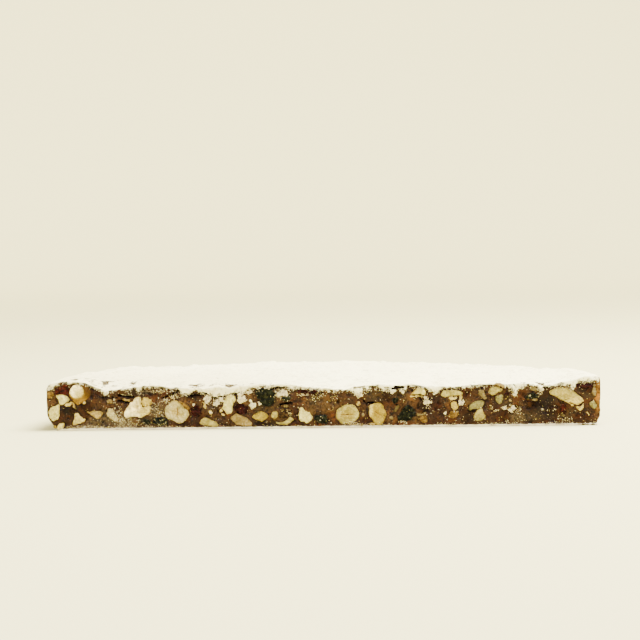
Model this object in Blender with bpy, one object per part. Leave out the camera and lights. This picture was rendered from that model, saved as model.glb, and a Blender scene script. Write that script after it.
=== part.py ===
"""Half of a round panforte: nuts and candied fruit bound in honey dough, on a wafer, under icing sugar.

Metres, +Z up. X runs along the straight cut, which faces -Y, and the round rim lies behind it.
While the parts are made, the cut is the plane Y = 0 and the wafer's underside is Z = 0.
Last, everything is moved so that the origin is the middle of the base.
"""
import math
import random

import bmesh
import bpy
from mathutils import Euler, Matrix, Vector, noise

MM = 0.001

# The round cake that was cut in half
RADIUS = 150.0 * MM
THICKNESS = 22.0 * MM
WAFER = 0.6 * MM
GAP = 0.3 * MM
TOUCH = 0.01 * MM
SCRAP = 0.002 * MM
DOUGH_BASE = WAFER + GAP

# The rim, from the shoulder down to the base: how far it stands in, and at what share of the height
RIM = ((1.4, 0.955), (0.45, 0.87), (0.0, 0.64), (0.1, 0.34), (0.35, 0.14), (1.1, 0.0))
SHOULDER = 3.4 * MM
TUCK_LEFT = 4.6 * MM
TUCK_RIGHT = 0.9 * MM
TUCK_SHARE = 0.42
# How unevenly the rim was pressed: depth, and waves to a radius
PRESSED = ((0.8 * MM, 2.6), (0.5 * MM, 9.0))
ARC_STEPS = 40
RING_WIDTH = 12.0 * MM

# Swells and dips of the top along the cut: place, half width and rise, in millimetres
SWELLS = (
    (-133, 10, 3.2), (-119, 6, -1.6), (-94, 8, 1.2), (-70, 14, -0.4), (-32, 12, 0.9), (8, 15, -1.9),
    (39, 10, 0.8), (70, 13, -1.1), (97, 12, 0.7), (121, 9, -0.6), (134, 4, -1.2), (146, 9, 1.3),
)
SWELL_REACH = 24.0 * MM
# Behind the cut the top rolls: height, and length of the waves
ROLLS = ((1.3 * MM, 36.0 * MM), (0.6 * MM, 15.0 * MM))

# Icing sugar
SUGAR = 0.9 * MM
SUGAR_UNEVEN = 0.5 * MM
SUGAR_CLEARANCE = 0.36 * MM
SUGAR_GRAIN = 9.0 * MM
# At the cut it stands forward by the lip, at this share of its run
SUGAR_LIP = 0.46 * MM
SUGAR_LIP_SHARE = 0.45
# Its border goes this share of the way down the rim's shoulder, more or less
SUGAR_BORDER = 0.5
SUGAR_BORDER_UNEVEN = 0.6
SUGAR_BORDER_WAVE = 17.0 * MM
# Where sugar has run down over the cut: place, half width and drop, in millimetres
RUNS = (
    (-119, 8, 4.6), (-84, 9, 1.2), (-59, 9, 3.4), (-42, 5, 2.2), (-20, 6, 3.4), (19, 6, 3.2), (38, 6, 3.0),
    (57, 5, 4.6), (103, 6, 4.8), (122, 5, 1.2), (135, 4, 1.6),
)
RUN_LEAST = 1.1 * MM

# How far the wafer reaches past the dough's foot, and how unevenly
WAFER_SPARE = 0.3 * MM
WAFER_UNEVEN = 0.5 * MM
WAFER_WAVE = 12.0 * MM

# Nuts and fruit stand this far proud of the cut, and their lumps are this many to a half width
PROUD = 0.4 * MM
LUMPS = 1.3

# Kind: colour, roughness, depth against height, squareness (2 is round), unevenness
KINDS = {
    "hazelnut": ((0.80, 0.66, 0.42), 0.55, 0.95, 2.0, 0.04),
    "almond": ((0.82, 0.71, 0.48), 0.55, 0.80, 2.0, 0.04),
    "nut_piece": ((0.82, 0.73, 0.52), 0.60, 0.90, 2.5, 0.12),
    "cherry": ((0.27, 0.025, 0.02), 0.30, 0.90, 2.6, 0.12),
    "green_fruit": ((0.03, 0.05, 0.03), 0.30, 0.90, 2.8, 0.12),
    "peel": ((0.55, 0.27, 0.06), 0.30, 0.90, 2.6, 0.08),
}
DOUGH_LOOK = ((0.19, 0.075, 0.025), 0.4)
SUGAR_LOOK = ((0.92, 0.91, 0.88), 0.9)
WAFER_LOOK = ((0.80, 0.74, 0.60), 0.8)

# What the cut shows, from left to right. Millimetres and degrees:
# kind, place along the cut, height, width, tallness, turn, taper (above 0 the far end is narrow)
SHOWN = (
    ("nut_piece", -144.6, 9.4, 5.6, 8.2, 0, 0.10),
    ("cherry", -141.0, 20.8, 7.2, 4.6, 18, -0.30),
    ("almond", -140.6, 15.6, 6.8, 3.8, -12, 0.15),
    ("nut_piece", -132.8, 6.2, 6.2, 6.2, 35, 0.55),
    ("hazelnut", -131.6, 18.9, 9.2, 9.4, 0, 0.0),
    ("almond", -123.8, 8.6, 9.0, 4.2, -10, -0.45),
    ("nut_piece", -114.6, 7.6, 6.0, 7.4, 10, 0.10),
    ("nut_piece", -103.4, 12.0, 10.0, 11.2, -15, 0.15),
    ("nut_piece", -94.6, 14.8, 5.2, 5.6, 0, 0.0),
    ("green_fruit", -89.4, 5.2, 6.4, 5.2, 8, 0.10),
    ("hazelnut", -78.8, 9.6, 12.8, 12.4, 0, 0.0),
    ("cherry", -68.2, 10.6, 5.8, 6.0, 20, 0.20),
    ("almond", -61.4, 5.0, 9.4, 5.0, -8, 0.25),
    ("nut_piece", -52.4, 13.6, 9.6, 6.0, 80, -0.35),
    ("cherry", -43.6, 11.4, 7.4, 5.4, -10, 0.15),
    ("almond", -44.6, 4.9, 11.0, 4.9, -10, 0.10),
    ("almond", -33.4, 6.4, 8.8, 5.2, 12, 0.30),
    ("green_fruit", -31.4, 16.2, 10.0, 9.2, -20, 0.10),
    ("green_fruit", -19.4, 16.6, 5.0, 4.2, 25, 0.20),
    ("almond", -21.0, 5.0, 9.6, 4.8, 8, 0.20),
    ("nut_piece", -9.6, 8.2, 10.2, 6.8, 84, 0.40),
    ("green_fruit", -0.6, 5.2, 7.0, 5.4, -15, 0.10),
    ("hazelnut", 13.0, 7.9, 11.8, 10.2, 0, 0.0),
    ("hazelnut", 29.4, 8.2, 9.4, 11.6, 0, 0.05),
    ("green_fruit", 39.6, 14.8, 5.2, 3.8, 30, 0.10),
    ("green_fruit", 44.4, 7.7, 9.6, 8.0, 20, 0.20),
    ("nut_piece", 51.6, 17.9, 7.6, 3.6, 0, -0.35),
    ("peel", 54.6, 5.0, 4.4, 4.0, 20, 0.0),
    ("almond", 69.4, 16.9, 11.4, 3.9, 0, 0.15),
    ("nut_piece", 71.6, 11.0, 4.6, 4.4, 0, 0.15),
    ("peel", 70.6, 5.2, 5.4, 4.6, 15, 0.1),
    ("almond", 83.0, 12.2, 8.6, 4.6, 16, 0.20),
    ("nut_piece", 84.2, 5.6, 6.2, 5.8, 90, 0.45),
    ("nut_piece", 86.6, 17.8, 4.8, 3.9, -10, 0.15),
    ("nut_piece", 94.2, 18.6, 7.8, 4.2, 10, -0.35),
    ("nut_piece", 96.2, 12.6, 4.2, 4.4, 80, 0.20),
    ("peel", 107.8, 11.4, 5.6, 3.8, -10, 0.10),
    ("green_fruit", 113.4, 16.4, 5.6, 4.6, -20, 0.10),
    ("almond", 131.0, 15.2, 17.6, 6.6, -24, 0.18),
    ("cherry", 128.6, 7.6, 4.2, 4.2, 0, 0.10),
    ("nut_piece", 144.6, 17.8, 5.2, 3.4, 84, 0.15),
    ("nut_piece", 144.4, 10.8, 5.4, 3.8, 80, 0.10),
)

# Nuts that swell the rim under its crust
RIM_NUTS = 19
RIM_NUT_DEPTH = 2.6 * MM
RIM_NUT_HALF = (4.6 * MM, 7.4 * MM)
RIM_NUT_HALF_HEIGHT = (3.6 * MM, 5.2 * MM)
RIM_NUT_PROUD = (0.7 * MM, 1.1 * MM)
RIM_NUT_SHARE = (0.36, 0.66)
RIM_NUT_TURN = 0.5
RIM_NUT_STRAY = 0.25
SEED = 11


def clear_scene():
    for thing in list(bpy.data.objects):
        bpy.data.objects.remove(thing, do_unlink=True)


def make_material(name, colour, roughness):
    material = bpy.data.materials.new(name)
    material.use_nodes = True
    shader = material.node_tree.nodes["Principled BSDF"]
    shader.inputs["Base Color"].default_value = (*colour, 1.0)
    shader.inputs["Roughness"].default_value = roughness
    shader.inputs["Metallic"].default_value = 0.0
    return material


def make_object(name, bm, collection, material=None):
    mesh = bpy.data.meshes.new(name)
    bm.to_mesh(mesh)
    bm.free()
    thing = bpy.data.objects.new(name, mesh)
    collection.objects.link(thing)
    if material is not None:
        mesh.materials.append(material)
    return thing


def bell(x, centre, half_width):
    return math.exp(-(((x - centre) / half_width) ** 2))


def top_height(x, y):
    """Height of the dough's top: swells near the cut, a gently rolling surface behind it."""
    swell = sum(rise * bell(x / MM, place, wide) for place, wide, rise in SWELLS)
    behind = 1 - bell(y, 0, SWELL_REACH)
    rolling = sum(high * noise.noise(Vector((x, y, high)) / long) for high, long in ROLLS)
    return THICKNESS + MM * swell * (1 - behind) + rolling * behind


def tuck(x):
    """How far the rim's foot is drawn in: more at the left end than at the right."""
    share = 0.5 - 0.5 * x / RADIUS
    return TUCK_RIGHT + (TUCK_LEFT - TUCK_RIGHT) * share


def rim_place(x, y, inset, share):
    """The point of the rim in the direction of (x, y), at a share of the height there."""
    direction = Vector((x, y, 0)).normalized()
    at = Vector((direction.x, direction.y, share / 4))
    pressed = direction.y * sum(deep * noise.noise(at * waves) for deep, waves in PRESSED)
    radius = RADIUS - inset + pressed - tuck(x) * max(0.0, 1 - share / TUCK_SHARE) ** 2
    top = top_height(direction.x * RADIUS, direction.y * RADIUS)
    height = DOUGH_BASE + share * (top - DOUGH_BASE)
    return Vector((direction.x * radius, direction.y * radius, height))


def arc_edges(bm, ring):
    ring = set(ring)
    return [edge for edge in bm.edges if edge.verts[0] in ring and edge.verts[1] in ring]


def cut_edges(bm):
    """The open edges that lie on the cut."""
    return [edge for edge in bm.edges if edge.is_boundary and all(abs(v.co.y) < TOUCH for v in edge.verts)]


def extrude(bm, edges):
    """Extrude open edges, and return the new points and the new edges."""
    grown = bmesh.ops.extrude_edge_only(bm, edges=edges)["geom"]
    points = [part for part in grown if isinstance(part, bmesh.types.BMVert)]
    return points, [part for part in grown if isinstance(part, bmesh.types.BMEdge)]


def top_sheet():
    """The dough's top, an open sheet spun half a turn, with finer steps along the cut; and its border."""
    bm = bmesh.new()
    reach = RADIUS - SHOULDER
    rings = round(reach / RING_WIDTH)
    line = [bm.verts.new((reach * step / rings, 0, 0)) for step in range(rings + 1)]
    spokes = [bm.edges.new(pair) for pair in zip(line, line[1:])]
    bmesh.ops.spin(bm, geom=line + spokes, cent=(0, 0, 0), axis=(0, 0, 1), angle=math.pi, steps=ARC_STEPS)
    bmesh.ops.remove_doubles(bm, verts=bm.verts, dist=TOUCH)
    bmesh.ops.subdivide_edges(bm, edges=cut_edges(bm), cuts=1)
    bmesh.ops.triangulate(bm, faces=bm.faces, quad_method="BEAUTY", ngon_method="BEAUTY")
    border = {v for v in bm.verts if v.co.length > reach - MM}
    for v in bm.verts:
        if v in border:
            v.co = rim_place(v.co.x, v.co.y, SHOULDER, 1.0)
        else:
            v.co.z = top_height(v.co.x, v.co.y)
    return bm, border


def dough_body():
    """The slab: the top, drawn down round the rim to the base, with the base and the cut closed."""
    bm, ring = top_sheet()
    for inset, share in RIM:
        ring, _ = extrude(bm, arc_edges(bm, ring))
        for v in ring:
            v.co = rim_place(v.co.x, v.co.y, inset * MM, share)
    corners = sorted(ring, key=lambda v: v.co.x)
    bm.edges.new((corners[0], corners[-1]))
    bmesh.ops.contextual_create(bm, geom=arc_edges(bm, ring))
    bmesh.ops.contextual_create(bm, geom=cut_edges(bm))
    bmesh.ops.recalc_face_normals(bm, faces=bm.faces)
    return bm


def lump(wide, deep, tall, squareness, unevenness, taper, turn, key):
    """A nut or a piece of fruit: a squared or rounded ball, uneven, narrower towards one end."""
    bm = bmesh.new()
    bmesh.ops.create_icosphere(bm, subdivisions=2, radius=1.0)
    for v in bm.verts:
        square = sum(abs(side) ** squareness for side in v.co) ** (1 / squareness)
        uneven = 1 + unevenness * noise.noise(v.co * LUMPS + Vector((key * LUMPS, key, 0)))
        v.co *= uneven / square
        v.co.y *= 1 - taper * v.co.x
        v.co.z *= 1 - taper * v.co.x
        v.co = Vector((v.co.x * wide, v.co.y * deep, v.co.z * tall)) / 2
    bmesh.ops.rotate(bm, verts=bm.verts, matrix=Matrix.Rotation(-math.radians(turn), 3, "Y"))
    return bm


def grow(bm, points, by):
    """Move points outwards along their normals, each by its own amount."""
    bm.normal_update()
    moves = [(v, v.normal * by(v)) for v in points]
    for v, move in moves:
        v.co += move


def add_shown(collection, cutters, materials):
    """Each nut and fruit that the knife opened, cut off just proud of the dough, and its pocket."""
    counts = dict.fromkeys(KINDS, 0)
    for key, (kind, x, z, wide, tall, turn, taper) in enumerate(SHOWN):
        _, _, depth, squareness, unevenness = KINDS[kind]
        counts[kind] += 1
        name = f"{kind}_{counts[kind]:02d}"
        place = Vector((x, 0, z)) * MM
        sizes = (wide * MM, min(wide, tall) * depth * MM, tall * MM)

        pocket = lump(*sizes, squareness, unevenness, taper, turn, key)
        grow(pocket, pocket.verts, lambda v: GAP)
        bmesh.ops.translate(pocket, verts=pocket.verts, vec=place)
        cutter = make_object(f"pocket_{name}", pocket, cutters)
        cutter.hide_render = True
        cutter.display_type = "WIRE"

        piece = lump(*sizes, squareness, unevenness, taper, turn, key)
        bmesh.ops.translate(piece, verts=piece.verts, vec=place)
        cut = bmesh.ops.bisect_plane(
            piece, geom=piece.verts[:] + piece.edges[:] + piece.faces[:],
            plane_co=(0, -PROUD, 0), plane_no=(0, -1, 0), clear_outer=True)["geom_cut"]
        bmesh.ops.contextual_create(piece, geom=[e for e in cut if isinstance(e, bmesh.types.BMEdge)])
        bmesh.ops.recalc_face_normals(piece, faces=piece.faces)
        make_object(name, piece, collection, materials[kind])


def add_rim_nuts(collection):
    """Whole nuts just under the rim's crust, spread evenly round it at uneven heights."""
    draw = random.Random(SEED)
    for step in range(RIM_NUTS):
        angle = math.pi * (step + 0.5 + draw.uniform(-RIM_NUT_STRAY, RIM_NUT_STRAY)) / RIM_NUTS
        share = draw.uniform(*RIM_NUT_SHARE)
        spot = rim_place(math.cos(angle), math.sin(angle), 0, share)
        out = Vector((math.cos(angle), math.sin(angle), 0))
        sizes = Vector((RIM_NUT_DEPTH, draw.uniform(*RIM_NUT_HALF), draw.uniform(*RIM_NUT_HALF_HEIGHT)))
        turn = Euler((draw.uniform(-RIM_NUT_TURN, RIM_NUT_TURN), 0, angle)).to_matrix().to_4x4()
        centre = spot + out * (draw.uniform(*RIM_NUT_PROUD) - RIM_NUT_DEPTH)
        bm = bmesh.new()
        bmesh.ops.create_icosphere(bm, subdivisions=2, radius=1.0)
        bmesh.ops.scale(bm, verts=bm.verts, vec=sizes)
        bmesh.ops.transform(bm, verts=bm.verts, matrix=Matrix.Translation(centre) @ turn)
        make_object(f"rim_nut_{step:02d}", bm, collection)


def combine(body, operation, collection):
    """One exact Boolean of the body with a whole collection, applied, and the collection emptied."""
    modifier = body.modifiers.new(operation.lower(), "BOOLEAN")
    modifier.operation = operation
    modifier.operand_type = "COLLECTION"
    modifier.collection = collection
    modifier.solver = "EXACT"
    shaped = body.evaluated_get(bpy.context.evaluated_depsgraph_get())
    body.data = bpy.data.meshes.new_from_object(shaped)
    body.modifiers.clear()
    bm = bmesh.new()
    bm.from_mesh(body.data)
    bmesh.ops.triangulate(bm, faces=bm.faces)
    bmesh.ops.remove_doubles(bm, verts=bm.verts, dist=SCRAP)
    bmesh.ops.dissolve_degenerate(bm, edges=bm.edges, dist=SCRAP)
    bm.to_mesh(body.data)
    bm.free()
    for thing in list(collection.objects):
        bpy.data.objects.remove(thing, do_unlink=True)
    bpy.data.collections.remove(collection)


def run_down(x):
    """How far the sugar hangs over the cut."""
    return RUN_LEAST + MM * sum(drop * bell(x / MM, place, wide) for place, wide, drop in RUNS)


def sugar_layer():
    """Icing sugar: the top's own sheet, lapped over the shoulder and the cut, then made thick."""
    bm, border = top_sheet()
    shoulder_inset, shoulder_share = RIM[0]
    border, _ = extrude(bm, arc_edges(bm, border))
    for v in border:
        shoulder = rim_place(v.co.x, v.co.y, shoulder_inset * MM, shoulder_share)
        share = SUGAR_BORDER + SUGAR_BORDER_UNEVEN * noise.noise(v.co / SUGAR_BORDER_WAVE)
        v.co = v.co.lerp(shoulder, share)
    front = cut_edges(bm)
    for forward, down in ((SUGAR_LIP, SUGAR_LIP_SHARE), (0.0, 1.0)):
        points, front = extrude(bm, front)
        for v in points:
            lowest = top_height(v.co.x, 0) - run_down(v.co.x)
            v.co.y -= forward
            v.co.z += (lowest - v.co.z) * down
    bmesh.ops.triangulate(bm, faces=bm.faces, quad_method="FIXED")
    bmesh.ops.recalc_face_normals(bm, faces=bm.faces)
    if sum(face.normal.z for face in bm.faces) < 0:
        bmesh.ops.reverse_faces(bm, faces=bm.faces)
    grow(bm, bm.verts, lambda v: SUGAR_CLEARANCE)
    thick = bmesh.ops.extrude_face_region(bm, geom=bm.faces[:])["geom"]
    upper = [part for part in thick if isinstance(part, bmesh.types.BMVert)]
    grow(bm, upper, lambda v: SUGAR + SUGAR_UNEVEN * noise.noise(v.co / SUGAR_GRAIN))
    bmesh.ops.recalc_face_normals(bm, faces=bm.faces)
    return bm


def wafer_sheet():
    """The thin wafer that the cake was baked on, cut with it, a little wider than the foot."""
    bm = bmesh.new()
    bmesh.ops.create_circle(bm, cap_ends=True, segments=2 * ARC_STEPS, radius=RADIUS)
    bmesh.ops.bisect_plane(
        bm, geom=bm.verts[:] + bm.edges[:] + bm.faces[:], plane_co=(0, 0, 0), plane_no=(0, -1, 0),
        clear_outer=True)
    for v in bm.verts:
        spare = WAFER_SPARE + WAFER_UNEVEN * noise.noise(v.co / WAFER_WAVE)
        v.co = rim_place(v.co.x, v.co.y, RIM[-1][0] * MM - spare, 0.0)
        v.co.z = 0
    sheet = bmesh.ops.extrude_face_region(bm, geom=bm.faces[:])["geom"]
    raised = [v for v in sheet if isinstance(v, bmesh.types.BMVert)]
    bmesh.ops.translate(bm, verts=raised, vec=(0, 0, WAFER))
    bmesh.ops.recalc_face_normals(bm, faces=bm.faces)
    return bm


def centre_on_base(collection):
    """Put the origin at the middle of the base of the whole object's box."""
    points = [v.co for thing in collection.objects for v in thing.data.vertices]
    low = Vector(min(p[i] for p in points) for i in range(3))
    high = Vector(max(p[i] for p in points) for i in range(3))
    shift = Matrix.Translation(Vector((-(low.x + high.x) / 2, -(low.y + high.y) / 2, -low.z)))
    for thing in collection.objects:
        thing.data.transform(shift)


def build():
    clear_scene()
    panforte = bpy.data.collections.new("panforte")
    pockets = bpy.data.collections.new("pockets")
    rim_nuts = bpy.data.collections.new("rim_nuts")
    for collection in (panforte, pockets, rim_nuts):
        bpy.context.scene.collection.children.link(collection)

    kinds = {kind: make_material(kind, *look[:2]) for kind, look in KINDS.items()}
    dough = make_object("dough", dough_body(), panforte)
    add_rim_nuts(rim_nuts)
    combine(dough, "UNION", rim_nuts)
    add_shown(panforte, pockets, kinds)
    combine(dough, "DIFFERENCE", pockets)
    dough.data.materials.clear()
    dough.data.materials.append(make_material("dough", *DOUGH_LOOK))
    make_object("icing_sugar", sugar_layer(), panforte, make_material("icing_sugar", *SUGAR_LOOK))
    make_object("wafer", wafer_sheet(), panforte, make_material("wafer", *WAFER_LOOK))
    centre_on_base(panforte)


build()
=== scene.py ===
"""Looks of half a round panforte: honey dough full of nuts and candied fruit, under icing sugar.

Metres, +Z up. The straight cut faces -Y, and the round rim lies behind it.
Places on the cut are (along it, height above the table) in millimetres.
"""

import math
import random

import bmesh
import bpy
import numpy as np
from mathutils import Euler, Matrix, Vector, noise
from mathutils.bvhtree import BVHTree


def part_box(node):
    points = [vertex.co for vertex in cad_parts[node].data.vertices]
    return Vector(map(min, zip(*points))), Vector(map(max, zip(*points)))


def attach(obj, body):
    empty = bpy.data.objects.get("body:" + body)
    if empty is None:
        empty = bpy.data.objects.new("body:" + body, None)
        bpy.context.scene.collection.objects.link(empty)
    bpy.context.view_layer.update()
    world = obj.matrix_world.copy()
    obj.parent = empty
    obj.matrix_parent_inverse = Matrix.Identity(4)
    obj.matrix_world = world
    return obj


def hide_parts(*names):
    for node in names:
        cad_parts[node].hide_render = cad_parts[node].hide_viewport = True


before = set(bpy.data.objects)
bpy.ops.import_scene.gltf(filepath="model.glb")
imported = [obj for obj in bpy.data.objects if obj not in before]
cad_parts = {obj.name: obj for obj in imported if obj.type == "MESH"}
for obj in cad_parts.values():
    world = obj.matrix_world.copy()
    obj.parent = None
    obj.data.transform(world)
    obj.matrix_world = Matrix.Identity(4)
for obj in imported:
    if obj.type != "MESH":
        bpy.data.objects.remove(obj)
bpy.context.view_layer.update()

MM = 0.001
SEED = 5
# Noise that gives a vector, as for the crumbs, differs from run to run unless it is seeded
noise.seed_set(SEED)
BODY = "root"

# Places that the frame gives
DOUGH_LOW, DOUGH_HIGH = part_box("dough")
CUT = DOUGH_LOW.y
BASE = DOUGH_LOW.z
RADIUS = (DOUGH_HIGH.x - DOUGH_LOW.x) / 2
MIDDLE = Vector(((DOUGH_HIGH.x + DOUGH_LOW.x) / 2, CUT, 0))

# Colours, as the shares of light that come back
BROWN = (0.0345, 0.0165, 0.0064, 1)
DARK_BROWN = (0.0085, 0.0036, 0.0012, 1)
NEAR_BLACK = (0.0022, 0.0012, 0.0006, 1)
GOLDEN = (0.066, 0.036, 0.011, 1)
RUST = (0.0455, 0.017, 0.005, 1)
# Painted shade in the dough's cracks, pits and hollows, and beside its nuts
CREVICE_SHADE = (0.0034, 0.0011, 0.0006, 1)
RED_BROWN = (0.0195, 0.0068, 0.0024, 1)
PLUM = (0.017, 0.0055, 0.0024, 1)
OLIVE = (0.031, 0.0195, 0.0075, 1)
GREY_BROWN = (0.06, 0.042, 0.018, 1)
AMBER = (0.15, 0.076, 0.006, 1)
CARAMEL = (0.072, 0.035, 0.011, 1)
CARAMEL_LIT = (0.15, 0.07, 0.0095, 1)
CRUST = (0.028, 0.0095, 0.002, 1)
FLECK = (0.22, 0.145, 0.08, 1)
CREAM = (0.47, 0.355, 0.086, 1)
WHITE_CREAM = (0.82, 0.66, 0.28, 1)
YELLOW_CREAM = (0.36, 0.258, 0.042, 1)
GREEN_CREAM = (0.165, 0.14, 0.04, 1)
LIGHT_GREEN = (0.28, 0.22, 0.048, 1)
PALE_GREEN = (0.5, 0.42, 0.12, 1)
GREY_CREAM = (0.34, 0.27, 0.1, 1)
AMBER_DULL = (0.18, 0.122, 0.032, 1)
DIM = (0.08, 0.056, 0.017, 1)
PLAIN = (1, 1, 1, 1)
BEIGE = (0.27, 0.185, 0.045, 1)
DULL_CREAM = (0.15, 0.11, 0.038, 1)
AMBER_CREAM = (0.255, 0.176, 0.0175, 1)
MOTTLE = (0.095, 0.08, 0.02, 1)
SKIN = (0.03, 0.01, 0.0014, 1)
# Painted shade in a nut's slits
SLIT_SHADE = (0.0869, 0.0284, 0.0043, 1)
CHERRY_RED = (0.026, 0.0022, 0.0008, 1)
CHERRY_DARK = (0.0045, 0.001, 0.0006, 1)
GREEN_BLACK = (0.0016, 0.0019, 0.0008, 1)
GREEN_LIT = (0.012, 0.014, 0.005, 1)
PEEL_AMBER = (0.195, 0.106, 0.018, 1)
PEEL_DARK = (0.063, 0.034, 0.006, 1)
SUGAR_WHITE = (0.96, 0.88, 0.51, 1)
# Painted shade in the sugar's pits and on the left of its top; also a duller cream of sugar on crumbs and
# nuts, and in the wafer's grain
SUGAR_SHADE = (0.66, 0.57, 0.28, 1)
SHOWING_THROUGH = (0.05, 0.03, 0.0105, 1)
# Sugar dust on the dough, and a colour of the sugar crumbs; also painted shade in the sugar's deepest pits
DUST_AND_SHADE = (0.4, 0.32, 0.2, 1)
WAFER_CREAM = (0.78, 0.68, 0.44, 1)
WAFER_SOAKED = (0.3, 0.2, 0.09, 1)
FLOOR_IVORY = (0.62, 0.565, 0.29, 1)


# Traced places

def traced(walk):
    """Places in millimetres from a walk: its start, then each step along and up, in tenths."""
    places = []
    x = z = 0
    for along, up in walk:
        x += along
        z += up
        places.append((x / 10, z / 10))
    return places


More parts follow.
